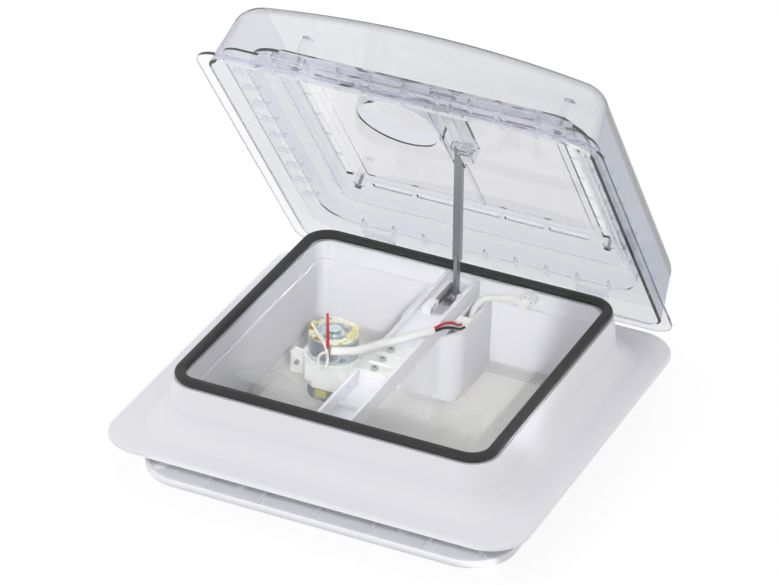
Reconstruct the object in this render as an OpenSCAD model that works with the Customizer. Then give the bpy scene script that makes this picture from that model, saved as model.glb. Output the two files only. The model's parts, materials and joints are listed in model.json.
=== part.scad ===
// Caravan roof vent: square roof frame with a hinged clear lid, a worm-driven
// lift arm, an electric fan on a crossbar and a ceiling frame with a screen.
// Origin: centre of the roof cut-out, on the roof surface. The hinge is at +Y.

/* [Roof frame] */
// Width of the square flange that lies on the roof
flange_w = 370; // [352:1:400]
// Corner radius of the flange
flange_corner_r = 35; // [25:1:45]
// Thickness of the flange
flange_t = 4; // [3:0.5:5]
// Rounding of the flange's edge
flange_edge_r = 2; // [0.5:0.5:2]
// Inner width of the neck
neck_bore_w = 263.6; // [258:0.2:268]
// Width of the neck's ring, from its bore to its outer face
neck_ring_w = 11.7; // [11.3:0.1:13]
// Height of the neck above the roof
neck_h = 46.6; // [44:0.2:49]
// Outer corner radius of the neck
neck_corner_r = 25; // [21:1:30]
// Outward slope of the neck's face, from its top to its fillet
neck_draft = 3; // [0.5:0.5:4]
// Radius of the fillet between neck and flange
neck_fillet_r = 22; // [12:1:24]
// Wall thickness of the moulded roof frame
skin_t = 3; // [2.5:0.1:3.4]

/* [Gasket] */
// Width of the rubber gasket on the neck
gasket_w = 9.1; // [8:0.1:9.5]
// Height of the gasket
gasket_h = 6.8; // [5:0.2:8]
// Step of bare neck left outside the gasket
gasket_setback = 1.2; // [0.5:0.1:2]

/* [Ceiling frame] */
// Outer width of the ceiling frame
trim_w = 328; // [318:1:345]
// Corner radius of the ceiling frame
trim_corner_r = 41; // [35:1:48]
// Thickness of the ceiling frame's face
trim_t = 2.5; // [2:0.5:3]
// Height of the upturned lip, face included
lip_h = 8; // [6:0.5:10]
// Thickness of the lip
lip_t = 2.5; // [2:0.5:3.5]
// Thickness of roof between flange and lip
roof_gap = 29.4; // [27:0.2:34]
// Height of the telescoping wall above the roof surface
wall_top = 30.6; // [28:0.2:32]
// Thickness of the telescoping wall
wall_t = 2.4; // [2:0.1:3]
// Width of the inner ledge that carries the screen
ledge_w = 5; // [4:0.5:6]
// Spacing of the stiffening ribs
rib_pitch = 49; // [45:1:52]
// Thickness of a rib
rib_t = 2; // [1.5:0.5:3]
// Diameter of the clamp screws between ceiling frame and roof frame
frame_screw_d = 3.5; // [3:0.5:4]
// Distance of the clamp screws from the middle of each side
frame_screw_run = 72; // [68:1:78]

/* [Insect screen] */
// Spacing of the net's wires
net_pitch = 16; // [15:0.5:16.5]
// Width of one wire
net_wire = 1.6; // [1:0.2:2]
// Thickness of the net
net_t = 0.8; // [0.6:0.1:1.2]
// Width of the rim under the net
screen_rim_w = 4; // [3:0.5:5]
// Height of the rim
screen_rim_h = 6; // [4:0.5:7]

/* [Crossbar] */
// Centre of the crossbar
bar_x = 2; // [0:0.5:4]
// Width of the crossbar
bar_w = 31; // [29:0.5:33]
// Thickness of its two rails
rail_t = 3; // [2.5:0.1:3.2]
// Height of the rails' top above the roof
rail_top = 47; // [46:0.5:48]
// Depth of the deck below the rails' top
deck_drop = 6; // [5.5:0.1:6.4]
// Thickness of the deck
deck_t = 2.5; // [2:0.1:3]
// Front end of the deck
deck_front = -52; // [-56:1:-51]

/* [Control well] */
// Width of the control well below the crossbar
well_w = 58; // [56:1:64]
// Length of the control well
well_len = 78; // [76:1:79]
// Radius of its two front corners
well_corner_r = 24; // [15:1:26]
// Wall thickness of the well
well_wall = 2.5; // [2:0.1:3]
// Width of the wire slot in the well's top
wire_slot_w = 9; // [8:0.5:10]
// Length of the wire slot
wire_slot_len = 35; // [30:1:36]
// Height of the control panel above the ceiling frame's face
panel_rise = 10; // [9.5:0.5:14]
// Thickness of the control panel
panel_t = 2.5; // [2:0.1:3]
// Length of the rocker switch's body
switch_len = 21; // [19:0.5:23]
// Width of the rocker switch's body
switch_w = 15; // [13:0.5:16]
// Depth of the switch's body above the panel
switch_depth = 14; // [10:0.5:18]

/* [Lid] */
// Width of the lid across its brim
lid_w = 355; // [352:1:360]
// Distance of the lid's hinge edge from the vent's centre
lid_back = 184; // [182:0.5:187]
// Height of the closed lid's brim above the roof
rim_z = 26; // [25:0.5:28]
// Opening angle of the lid as it stands
lid_open = 52.5; // [40:0.5:52.5]
// Width of the lid's brim
brim_w = 9; // [7:0.5:10]
// Thickness of the brim
brim_t = 2.5; // [2:0.5:3]
// Height of the dome's shoulder above the brim
dome_h = 60; // [58:0.5:70]
// Crown of the dome's top, side to side
dome_crown = 13.7; // [10:0.1:18]
// Inward slope of the dome's sides
dome_draft = 8; // [6:0.5:10]
// Radius of the dome's shoulder
dome_edge_r = 20; // [14:1:22]
// Corner radius of the lid
lid_corner_r = 24; // [20:1:30]
// Wall thickness of the dome
dome_wall = 2.5; // [2:0.1:3]
// Height of the inner pane above the brim
pane_level = 36; // [35:0.5:38]
// Thickness of the inner pane
pane_t = 2; // [1.5:0.1:2.5]
// Height of the ribbed ledge above the brim
ledge_level = 14; // [12:0.5:16]
// Ribs along each side of the ledge
ledge_ribs = 9; // [7:1:11]
// Inner radius of the pane's pocket over the motor
pocket_r = 36; // [33:0.5:37]
// Depth of the pocket
pocket_depth = 15; // [14:0.5:17]
// Length of an air slot in the pane's border
slot_len = 36; // [30:1:38]
// Width of an air slot
slot_w = 7; // [4:0.5:8]
// Spacing of the air slots
slot_pitch = 41; // [39.5:0.5:43]
// Distance of the slotted border from the pane's centre, to the sides
slot_side = 119; // [117:0.5:122]
// Distance of the slotted border from the pane's centre, front and back
slot_end = 104; // [101:0.5:110]

/* [Lid hinge] */
// Distance of the hinge axis behind the vent's centre
hinge_y = 163.7; // [162:0.1:165]
// Height of the hinge axis above the roof
hinge_z = 12.2; // [11.5:0.1:13]
// Diameter of the hinge pins
hinge_pin_d = 5; // [4:0.1:6]
// Outer diameter of the hinge eyes
hinge_eye_d = 11; // [10:0.5:12]
// Distance of each hinge from the centre line
hinge_spread = 100; // [80:1:110]
// Width of a hinge leaf
hinge_leaf_w = 20; // [14:1:26]
// Width of a hinge lug on the roof frame
hinge_lug_w = 6; // [5:0.5:8]

/* [Lift gear] */
// Sideways place of the lift arm
arm_x = 5; // [4.8:0.1:5.6]
// Distance of the arm's pivot behind the vent's centre
arm_pivot_y = 109.5; // [108:0.5:111]
// Height of the arm's pivot above the roof
arm_pivot_z = 35.5; // [35.2:0.1:36]
// Diameter of the pivot pin
pivot_pin_d = 4; // [3:0.1:5]
// Width of the folded arm
arm_w = 7; // [6.5:0.1:8]
// Depth of the folded arm
arm_depth = 5; // [4:0.1:6]
// Thickness of the arm's sheet
arm_sheet = 1.5; // [1:0.1:1.7]
// Length of the flat foot below the fold
arm_foot_len = 44; // [42:1:50]
// Thickness of the flat foot
arm_foot_t = 3; // [2:0.1:3.4]
// How far the arm's tip leans towards the motor
tip_shift = 2.8; // [2:0.2:2.8]
// Diameter of the pin at the arm's tip
tip_pin_d = 3; // [2.5:0.1:4]
// Teeth of the gear on the arm
gear_teeth = 18; // [18:1:18]
// Pitch radius of the gear
gear_pitch_r = 4.5; // [4.4:0.1:4.6]
// Width of the gear
gear_w = 5; // [3:0.5:6]
// Pitch radius of the worm
worm_pitch_r = 2.4; // [2.3:0.1:2.5]
// Depth of tooth and thread above the pitch line
tooth_rise = 0.45; // [0.35:0.05:0.5]
// Depth of tooth and thread below the pitch line
tooth_root = 0.6; // [0.55:0.05:0.7]
// Length of the worm
worm_len = 32; // [26:1:34]
// Sideways place of the worm and the crank shaft
worm_x = -2; // [-2.5:0.1:-1.9]
// Diameter of the worm's shaft
worm_shaft_d = 2.4; // [2:0.1:2.6]
// Distance of the crank shaft behind the vent's centre
crank_y = 70; // [69:0.5:71]
// Diameter of the crank shaft
crank_shaft_d = 6; // [5:0.5:7]
// Large-end radius of the bevel gears
bevel_r = 2.8; // [2.6:0.1:2.9]
// Face width of the bevel gears
bevel_face = 1.4; // [1.2:0.1:1.5]
// Teeth of each bevel gear
bevel_teeth = 10; // [10:1:10]
// Diameter of the crank knob
knob_d = 30; // [26:1:32]
// Height of the crank knob
knob_h = 8.5; // [7:0.5:9]

/* [Lid track] */
// Inner width of the track under the dome
track_in_w = 18; // [17:0.5:19]
// Wall thickness of the track
track_wall = 2; // [1.5:0.1:2.5]
// Thickness of the track's lips
track_lip_t = 2.2; // [1.8:0.1:2.6]
// Gap between the lips
track_gap = 10; // [9.5:0.5:11]
// Hinge-side end of the track
track_back = 10; // [9:1:14]
// Length of the track
track_len = 98; // [90:1:102]
// Length of the sliding shoe
shoe_len = 16; // [12:1:18]
// Gap between the shoe and the track's side walls
shoe_side_gap = 0.8; // [0.7:0.1:1]

/* [Motor and fan] */
// Sideways place of the motor's axis
motor_x = -40; // [-40.5:0.5:-40]
// Front-to-back place of the motor's axis
motor_y = -38; // [-39:0.5:-37]
// Diameter of the motor's can
motor_d = 42; // [38:0.5:43]
// Height of the can's lower end above the roof
motor_low = 12; // [10:0.5:16]
// Length of the can
motor_len = 55; // [50:1:56]
// Wall thickness of the can
can_wall = 2; // [1:0.1:2.5]
// Diameter of the motor's shaft
shaft_d = 5; // [4:0.1:6]
// Radius of the fan
fan_r = 87; // [80:0.5:87]
// Blades of the fan
fan_blades = 6; // [6:1:6]
// Pitch of a blade against the fan's plane
blade_pitch = 22; // [15:1:24]
// Thickness of a blade
blade_t = 1.8; // [1.2:0.1:2.4]
// Radius of the fan's hub
hub_r = 13; // [11:0.5:16]
// Height of the fan's hub
hub_h = 15; // [12:0.5:16]
// Height of the clamp round the motor
clamp_h = 22; // [16:0.5:23]
// Thickness of the clamp
clamp_t = 3.5; // [2.5:0.1:3.7]
// Spacing of the bracket's screws
bracket_screw_pitch = 16.2; // [15:0.2:16.5]
// Diameter of the small screws
small_screw_d = 3; // [2.5:0.1:3.5]

/* [Wiring] */
// Diameter of the motor's own wires
motor_wire_d = 1.8; // [1.6:0.1:2]
// Diameter of the sleeve over the motor's leads
sleeve_d = 7.2; // [6:0.2:7.2]
// Diameter of the control lead
lead_d = 5.6; // [4.6:0.2:5.8]
// Diameter of a single wire
wire_d = 2.4; // [2:0.1:2.6]

/* [Fits] */
// Radial clearance of a running fit
run_fit = 0.05; // [0.02:0.01:0.1]
// Radial clearance of a pressed or screwed fit
press_fit = 0.02; // [0.01:0.01:0.04]
// Gap between fixed parts that slide together
slide_gap = 0.4; // [0.3:0.05:0.5]
// Gap between parts that move past each other
move_gap = 0.4; // [0.3:0.05:0.6]
// Gap between the closed lid and the gasket
seal_gap = 0.3; // [0.2:0.05:0.5]

/* [Hidden] */
$fn = 48;
overlap = 1;
white = [0.93, 0.93, 0.94];
clear = [0.85, 0.88, 0.94, 0.35];
steel = [0.62, 0.63, 0.65];
zinc = [0.78, 0.8, 0.8];
black = [0.12, 0.12, 0.12];

// Roof frame
neck_bore_half = neck_bore_w / 2;
neck_half = neck_bore_half + neck_ring_w;
neck_mid = neck_half - neck_corner_r;
bore_corner_r = neck_corner_r - neck_ring_w;
gasket_top = neck_h + gasket_h;
gasket_mid_r = neck_corner_r - gasket_setback - gasket_w / 2;
frame_screw_half = neck_bore_half + skin_t + 1.7;
boss_r = neck_ring_w / 2 - 1.45;
boss_low_z = 1.5;
boss_h = 24;
fillet_sink = 0.3;

// Ceiling frame
trim_z = -roof_gap - lip_h;
trim_face = trim_z + trim_t;
wall_half = neck_bore_half - slide_gap;
wall_corner_r = bore_corner_r - slide_gap;
wall_in = wall_half - wall_t;
trim_edge_r = min(2.4, lip_t);
frame_screw_head_d = 2 * frame_screw_d;
frame_screw_head_h = 2;
sleeve_r = frame_screw_d / 2 + 1.4;
sleeve_top = -2;
screw_recess = frame_screw_head_h + 0.4;
frame_screw_tip = 18;

// Insect screen
screen_half = wall_in - slide_gap;
screen_corner_r = wall_corner_r - wall_t - slide_gap;
screen_z = trim_face + screen_rim_h;
net_count = floor((2 * screen_half - 2 * screen_rim_w) / net_pitch);

// Crossbar
bar_half = neck_bore_half - slide_gap;
rail_bottom = wall_top + slide_gap;
deck_z = rail_top - deck_drop;
bar_left = bar_x - bar_w / 2;
bar_right = bar_x + bar_w / 2;
trough_t = 2.5;
end_plate_t = 3;
web_t = 2;
bar_screw_spread = 8;
bar_screw_rise = 3.7;
bearing_t = 3.2;
front_web_gap = 40;

// Control well
well_back = wall_in - slide_gap;
well_front = well_back - well_len;
well_right = bar_x + well_w / 2;
panel_z = trim_z + panel_rise;
wire_slot_x = (bar_right + well_right - well_wall) / 2;
wire_slot_y = well_back - well_wall - 1.9 - wire_slot_len;
wire_hole_len = 14;
switch_x = bar_x + 11;
switch_inset = 28;
switch_y = well_back - switch_inset;
switch_flange = 1.5;
rocker_len = switch_len - 4;
rocker_w = switch_w - 4;
rocker_stand = 3;

// Lid, drawn closed and then turned open about the hinge
lid_half = lid_w / 2;
lid_half_y = (lid_back + lid_half) / 2;
lid_mid_y = (lid_back - lid_half) / 2;
pane_z = rim_z + pane_level;
ledge_z = rim_z + ledge_level;
land_z = gasket_top + seal_gap;
pane_wall = 2;
dome_skin_at_ledge = brim_w + dome_wall + dome_draft * (ledge_level + pane_t) / dome_h;
ledge_half = lid_half - dome_skin_at_ledge - slide_gap;
ledge_half_y = lid_half_y - dome_skin_at_ledge - slide_gap;
land_reach = 0.23 * (ledge_half - neck_half);
land_out_r = neck_corner_r + land_reach;
land_in_r = neck_corner_r - 12;
pane_half = neck_mid + land_in_r;
ledge_corner_r = lid_corner_r - 4;
ledge_rib_h = 5;
ledge_rib_t = 1.6;
pocket_x = motor_x - 1;
pocket_y = motor_y - 2;
post_x = 116;
post_y = [112, -106];
post_r = 5;
pane_screw_head_d = 6.5;
pane_screw_head_h = 2;
center_rib_t = 2;
center_rib_h = 4;
bead_inset = 11;
bead_w = 7;
bead_h = 1;
bead_r = 6;

// Lift gear, worked out from the lid's open angle so that the arm stands upright
track_z = pane_z + pane_t + track_lip_t + 3.8;
tip_y = hinge_y + (arm_pivot_y - hinge_y - (track_z - hinge_z) * sin(lid_open)) / cos(lid_open);
tip_z = hinge_z - (tip_y - hinge_y) * sin(lid_open) + (track_z - hinge_z) * cos(lid_open);
shoe_low = 3;
shoe_high = 5.5;
shoe_bridge = 1.5;
track_play = 1.9;
track_top = track_z + shoe_high + track_play;
tip_eye_r = 3.5;
tip_x = arm_x - tip_shift;
fold_z = arm_pivot_z + arm_foot_len - 6;
arm_lean = atan(tip_shift / (tip_z - fold_z));
channel_len = (tip_z - fold_z) / cos(arm_lean);
shoe_half = track_in_w / 2 - shoe_side_gap;
arm_eye_r = 6;
arm_foot_w = 8;
arm_turn = 76;
worm_z = arm_pivot_z + gear_pitch_r + worm_pitch_r;
lead = 2 * PI * gear_pitch_r / gear_teeth;
worm_sides = 20;
worm_steps = 6;
worm_back = arm_pivot_y + 0.25 * worm_len;
worm_front = worm_back - worm_len;
gear_hub_r = 3.5;
pivot_boss_r = 4.4;
tooth_deep = 0.38;
bevel_back = bevel_r + tooth_deep;
crank_top = worm_z - bevel_back;
arm_slot_front = arm_pivot_y
    - (deck_z + move_gap - arm_pivot_z + arm_foot_w / 2 / sin(arm_turn)) * tan(arm_turn);
pane_gap_back = arm_pivot_y
    - (pane_z - 2 * move_gap - arm_pivot_z - arm_depth / 2 / sin(arm_turn)) * tan(arm_turn);
knob_gap = 0.5;
cover_wall = 1.3;
cover_gap = 0.6;

// Motor and fan
motor_r = motor_d / 2;
motor_top = motor_low + motor_len;
clamp_rise = 36;
clamp_top = motor_low + clamp_rise;
clamp_in_r = motor_r + 0.2;
clamp_out_r = clamp_in_r + clamp_t;
clamp_split = 0.3;
tab_len = 12;
tab_t = 4;
tab_drop = 7;
tab_sink = 3.5;
strap_reach = 14;
strap_step = [6.7, 5.5];
strap_deep = 9;
tab_screw_z = clamp_top - clamp_h + 6.5;
strap_head_d = 4.4;
foot_len = 14;
foot_screw_y = motor_y - clamp_out_r - 8;
foot_screw_z = clamp_top - clamp_h / 2 + 4;
clamp_bar_gap = 0.3;
bracket_t = 3.5;
ridge_w = 2;
bracket_front = deck_front + 2;
bracket_len = 3 * bracket_screw_pitch + ridge_w;
bracket_screw_x = bar_x - 3.5;
bracket_bore_low = 12;
bracket_bore_len = 20;
bridge_front = bracket_front;
bridge_reach = 26;
bridge_back = motor_y + bridge_reach;
small_head_d = 2.2 * small_screw_d;
small_head_h = 2;
shaft_low = -14;
hub_top = 4;
blade_z = hub_top - hub_h / 2;
blade_first = 48;
boss_low = motor_low - 4;
rotor_r = motor_r - can_wall - 4.5;
rotor_gap = 0.7;
rotor_low = 10;
rotor_high = 14;
end_ring_h = 2.5;
end_dish_r = 0.72 * motor_r;
end_dish_depth = 3;
end_ring_mid = (end_dish_r + motor_r - 0.8) / 2;
rear_boss_h = 4;
magnet_low = 8;
magnet_high = 12;
magnet_split = 8;
pad_w = 9.5;
pad_h = 7.5;
pad_low = 16.5;
pad_t = 2;
suppressor = [8, 4.4, 3];

// Wiring routes: hand-chosen points
sleeve_route = [[-31.5, -62.3, 64.8], [-21, -55.4, 63.6], [-15.2, -44.4, 60.2], [-11.6, -28, 56],
                [-8.5, -13.5, 52.2], [-2, -4.2, 51.2], [7.2, 9.8, 51], [20, 28, 51]];
red_route = [[20.8, 29.4, 52.4], [24, 42, 51], [26.2, 54, 46.2], [26.6, 64.5, 38.8], [26.3, 72.2, 35]];
black_route = [[21, 29.6, 49.6], [24.4, 42, 47.2], [27.4, 54, 41.6], [29, 64.5, 35.6], [29.4, 72.2, 33.2]];
motor_red_route = [[-52.2, -25.2, 74.1], [-45.2, -39.6, 74.8], [-38.4, -53.6, 73.2], [-35.4, -60, 70.4],
                   [-33.4, -63.2, 66.6]];
motor_white_route = [[-55.8, -45.6, 74.1], [-48, -54.6, 74.6], [-40, -61, 71.6], [-36.4, -61.2, 65.5],
                     [-34, -62.4, 57], [-34, -65.4, 50.6], [-37.2, -66.4, 47.4], [-40.4, -66.2, 51.2],
                     [-40.6, -66, 57], [-38.2, -65.8, 61.8], [-34.4, -64.6, 63.4]];
control_route = [[22.6, 98, 15], [22.7, 103.4, 23.4], [23, 108.6, 30.8], [26.6, 113, 36.8],
                 [33, 116, 40.4], [40, 118, 41.4],
                 [47.6, 120.2, 42.4], [53.2, 122.1, 41.6]];
plug_size = [12, 10, 6];
plug_at = [26.5, 73, rail_bottom];
plug_socket = [2.8, 3, 3];
connector_turn = 38.3;
connector_at = [62.7, 120.4, 39.9];
connector_body = [13, 10.2, 6];
connector_eye_r = 3;
connector_eye_gap = 6.6;
connector_eye_rise = 6.4;
connector_eye_depth = 7;
connector_bore_r = 1.3;

// Shared shapes

module rounded_rect(size, r) {
    square([size.x - 2 * r, size.y], center = true);
    square([size.x, size.y - 2 * r], center = true);
    for (sx = [-1, 1], sy = [-1, 1])
        translate([sx * (size.x / 2 - r), sy * (size.y / 2 - r)]) circle(r);
}

// Sweeps a profile round a rounded square; the profile's x starts at the corner centres
module loop_sweep(mid) {
    for (k = [0 : 3])
        rotate([0, 0, 90 * k]) translate([mid, mid, 0]) {
            rotate_extrude(angle = 90) children();
            rotate([90, 0, 0]) linear_extrude(2 * mid) children();
        }
}

module block(low, high) {
    translate(low) cube(high - low);
}

module rod_x(at, d, len) {
    translate(at) rotate([0, 90, 0]) cylinder(d = d, h = len, center = true);
}

module rod_y(at, d, len) {
    translate(at) rotate([90, 0, 0]) cylinder(d = d, h = len, center = true);
}

module at_hinge_pairs() {
    for (side = [-1, 1]) translate([side * hinge_spread, hinge_y, hinge_z]) children();
}

module opened() {
    translate([0, hinge_y, hinge_z]) rotate([-lid_open, 0, 0]) translate([0, -hinge_y, -hinge_z]) children();
}

// The crossbar's end screws point outwards, below the deck at the back and above the trough in front
module at_bar_screws() {
    for (end = [-1, 1], side = [-1, 1])
        translate([bar_x + side * bar_screw_spread, end * (bar_half - end_plate_t),
                   rail_bottom + bar_screw_rise + (end < 0 ? trough_t : 0)])
            rotate([end * 90, 0, 0]) children();
}

module at_frame_screws() {
    for (k = [0 : 3], run = [-1, 1])
        rotate([0, 0, 90 * k]) translate([frame_screw_half, run * frame_screw_run, 0]) children();
}

module at_motor() {
    translate([motor_x, motor_y, 0]) children();
}

module well_outline(grow) {
    size = [well_w + 2 * grow, well_len + 2 * grow];
    r = max(well_corner_r + grow, 0.5);
    translate([bar_x, well_back - well_len / 2]) {
        rounded_rect(size, r);
        translate([-size.x / 2, 0]) square([size.x, size.y / 2]);
    }
}

// Pan-head screw pointing down from its seat, with a cross recess
module pan_screw(d, head_d, head_h, len) {
    difference() {
        union() {
            cylinder(d = head_d, h = head_h);
            translate([0, 0, -len]) cylinder(d = d, h = len + overlap);
        }
        for (turn = [0, 90])
            rotate([0, 0, turn]) translate([0, 0, head_h])
                cube([0.6 * head_d, 0.14 * head_d, 0.9 * head_h], center = true);
    }
}

// Tubes along a smooth route

function unit(v) = v / norm(v);
function curve_point(p, i, t) =
    let (a = p[max(i - 1, 0)], b = p[i], c = p[i + 1], d = p[min(i + 2, len(p) - 1)])
    0.5 * (2 * b + (c - a) * t + (2 * a - 5 * b + 4 * c - d) * t * t + (3 * b - a - 3 * c + d) * t * t * t);
function curve(p, steps) =
    concat([for (i = [0 : len(p) - 2], s = [0 : steps - 1]) curve_point(p, i, s / steps)], [p[len(p) - 1]]);
function direction(p, i) = unit(p[min(i + 1, len(p) - 1)] - p[max(i - 1, 0)]);

module tube(route, d, steps, aside) {
    sides = d < 4 ? 8 : 12;
    path = curve(route, steps);
    last = len(path) - 1;
    rings = [for (i = [0 : last])
        let (t = direction(path, i), a = unit(cross(t, aside)), b = cross(t, a))
        for (k = [0 : sides - 1]) path[i] + d / 2 * (a * cos(360 * k / sides) + b * sin(360 * k / sides))];
    points = concat(rings, [path[0], path[last]]);
    first_cap = len(rings);
    faces = concat(
        [for (i = [0 : last - 1], k = [0 : sides - 1]) let (n = (k + 1) % sides)
            each [[i * sides + k, (i + 1) * sides + n, (i + 1) * sides + k],
                  [i * sides + k, i * sides + n, (i + 1) * sides + n]]],
        [for (k = [0 : sides - 1]) [first_cap, (k + 1) % sides, k]],
        [for (k = [0 : sides - 1]) [first_cap + 1, last * sides + k, last * sides + (k + 1) % sides]]);
    polyhedron(points, faces, convexity = 4);
}

// Roof frame

module neck_profile() {
    bore_x = neck_corner_r - neck_ring_w;
    foot_x = neck_corner_r + neck_draft;
    fillet_top = flange_t - fillet_sink + neck_fillet_r;
    difference() {
        polygon([[bore_x, 0], [bore_x, neck_h], [neck_corner_r, neck_h], [foot_x, fillet_top],
                 [foot_x + neck_fillet_r, fillet_top], [foot_x + neck_fillet_r, 0]]);
        translate([foot_x + neck_fillet_r, fillet_top]) circle(neck_fillet_r);
        translate([bore_x + skin_t, -overlap])
            square([neck_ring_w - 2 * skin_t, neck_h - skin_t + overlap]);
    }
}

module flange_plate() {
    edge = min(flange_edge_r, flange_t / 2);
    inner = flange_w - 2 * edge;
    linear_extrude(flange_t) rounded_rect([inner, inner], flange_corner_r - edge);
    loop_sweep(flange_w / 2 - flange_corner_r) {
        translate([flange_corner_r - edge - overlap, 0]) square([edge + overlap, flange_t - edge]);
        translate([flange_corner_r - edge - overlap, 0]) square([overlap, flange_t]);
        translate([flange_corner_r - edge, flange_t - edge]) intersection() {
            circle(edge);
            translate([-overlap, -overlap]) square(2 * edge + overlap);
        }
    }
}

module hinge_lug() {
    foot_half = hinge_eye_d / 2 - 0.5;
    difference() {
        union() {
            rod_x([0, 0, 0], hinge_eye_d, hinge_lug_w);
            block([-hinge_lug_w / 2, -foot_half, flange_t - overlap - hinge_z],
                  [hinge_lug_w / 2, foot_half, 0]);
        }
        rod_x([0, 0, 0], hinge_pin_d + 2 * press_fit, hinge_lug_w + 2 * overlap);
    }
}

module outer_frame() color(white) {
    hole = neck_half - skin_t / 2;
    difference() {
        union() {
            difference() {
                flange_plate();
                translate([0, 0, -overlap]) linear_extrude(flange_t + 2 * overlap)
                    rounded_rect([2 * hole, 2 * hole], neck_corner_r - skin_t / 2);
            }
            loop_sweep(neck_mid) neck_profile();
            at_frame_screws() translate([0, 0, boss_low_z]) cylinder(r = boss_r, h = boss_h - boss_low_z);
        }
        at_frame_screws() translate([0, 0, -overlap])
            cylinder(d = frame_screw_d + 2 * press_fit, h = boss_h);
        at_bar_screws() translate([0, 0, -end_plate_t - slide_gap - skin_t - overlap])
            cylinder(d = small_screw_d + 2 * press_fit, h = skin_t + overlap + slide_gap);
    }
    lug_offset = (hinge_leaf_w + hinge_lug_w) / 2 + move_gap;
    at_hinge_pairs() for (side = [-1, 1]) translate([side * lug_offset, 0, 0]) hinge_lug();
}

module neck_gasket() color(black) {
    r = gasket_h / 2;
    loop_sweep(neck_mid) translate([gasket_mid_r, neck_h + r]) {
        square([gasket_w - gasket_h, gasket_h], center = true);
        for (side = [-1, 1]) translate([side * (gasket_w / 2 - r), 0]) circle(r);
    }
}

module hinge_pins() color(steel) {
    pin_len = hinge_leaf_w + 2 * hinge_lug_w + 2 * move_gap;
    at_hinge_pairs() rod_x([0, 0, 0], hinge_pin_d, pin_len);
}

// Ceiling frame

module rib(wall_at, lip_at) {
    shoulder = wall_at + 8;
    rib_top = -roof_gap - 0.5;
    rotate([90, 0, 0]) linear_extrude(rib_t, center = true)
        polygon([[wall_at - overlap, trim_z + overlap], [wall_at - overlap, rib_top + 7], [shoulder, rib_top],
                 [lip_at + overlap, rib_top - 2], [lip_at + overlap, trim_z + overlap]]);
}

module lip_profile() {
    x = trim_corner_r - lip_t;
    translate([x, trim_z + trim_edge_r]) square([lip_t, lip_h - trim_edge_r]);
    translate([trim_corner_r - trim_edge_r, trim_z + trim_edge_r]) circle(trim_edge_r);
}

module inner_frame() color(white) {
    trim_mid = trim_w / 2 - trim_corner_r;
    face = trim_w - 2 * trim_edge_r;
    opening = 2 * (wall_in - ledge_w);
    wall_mid = wall_half - wall_corner_r;
    lip_in = trim_w / 2 - lip_t;
    difference() {
        union() {
            translate([0, 0, trim_z]) linear_extrude(trim_t)
                rounded_rect([face, face], trim_corner_r - trim_edge_r);
            loop_sweep(trim_mid) lip_profile();
            loop_sweep(wall_mid) translate([wall_corner_r - wall_t, trim_z]) square([wall_t, wall_top - trim_z]);
            for (k = [0 : 3]) rotate([0, 0, 90 * k]) {
                for (i = [-2 : 2]) translate([0, i * rib_pitch, 0]) rib(wall_half, lip_in);
                rotate([0, 0, 45])
                    rib(wall_mid * sqrt(2) + wall_corner_r, trim_mid * sqrt(2) + trim_corner_r - lip_t);
            }
            at_frame_screws() translate([0, 0, trim_z]) cylinder(r = sleeve_r, h = sleeve_top - trim_z);
            at_frame_screws() translate([0, 0, trim_z]) cylinder(d = frame_screw_head_d + 4, h = screw_recess + 2);
        }
        translate([0, 0, trim_z - overlap]) linear_extrude(trim_t + 2 * overlap)
            rounded_rect([opening, opening], wall_corner_r - wall_t - 2);
        translate([0, 0, trim_face]) linear_extrude(wall_top)
            rounded_rect([2 * wall_in, 2 * wall_in], wall_corner_r - wall_t);
        at_frame_screws() {
            translate([0, 0, trim_z - overlap])
                cylinder(d = frame_screw_d + 2 * slide_gap, h = sleeve_top - trim_z + 2);
            translate([0, 0, trim_z - overlap])
                cylinder(d = frame_screw_head_d + 2 * slide_gap, h = screw_recess + overlap);
        }
    }
}

module frame_screws() color(steel) {
    seat = trim_z + screw_recess;
    at_frame_screws() translate([0, 0, seat]) mirror([0, 0, 1])
        pan_screw(frame_screw_d, frame_screw_head_d, frame_screw_head_h, frame_screw_tip - seat);
}

module screen_rim() color(white) {
    inner = 2 * (screen_half - screen_rim_w);
    translate([0, 0, trim_face]) linear_extrude(screen_rim_h) difference() {
        rounded_rect([2 * screen_half, 2 * screen_half], screen_corner_r);
        rounded_rect([inner, inner], screen_corner_r - screen_rim_w);
        well_outline(slide_gap);
    }
}

module insect_screen() color([0.8, 0.8, 0.78]) {
    gap = net_pitch - net_wire;
    reach = net_pitch * (net_count - 1) / 2;
    margin = gap / 2 + net_wire;
    translate([0, 0, screen_z]) linear_extrude(net_t) difference() {
        rounded_rect([2 * screen_half, 2 * screen_half], screen_corner_r);
        well_outline(slide_gap);
        for (x = [-reach : net_pitch : reach], y = [-reach : net_pitch : reach])
            if (abs(x - bar_x) > well_w / 2 + margin || y < well_front - margin)
                translate([x, y]) square(gap, center = true);
    }
}

// Crossbar and control well

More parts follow.
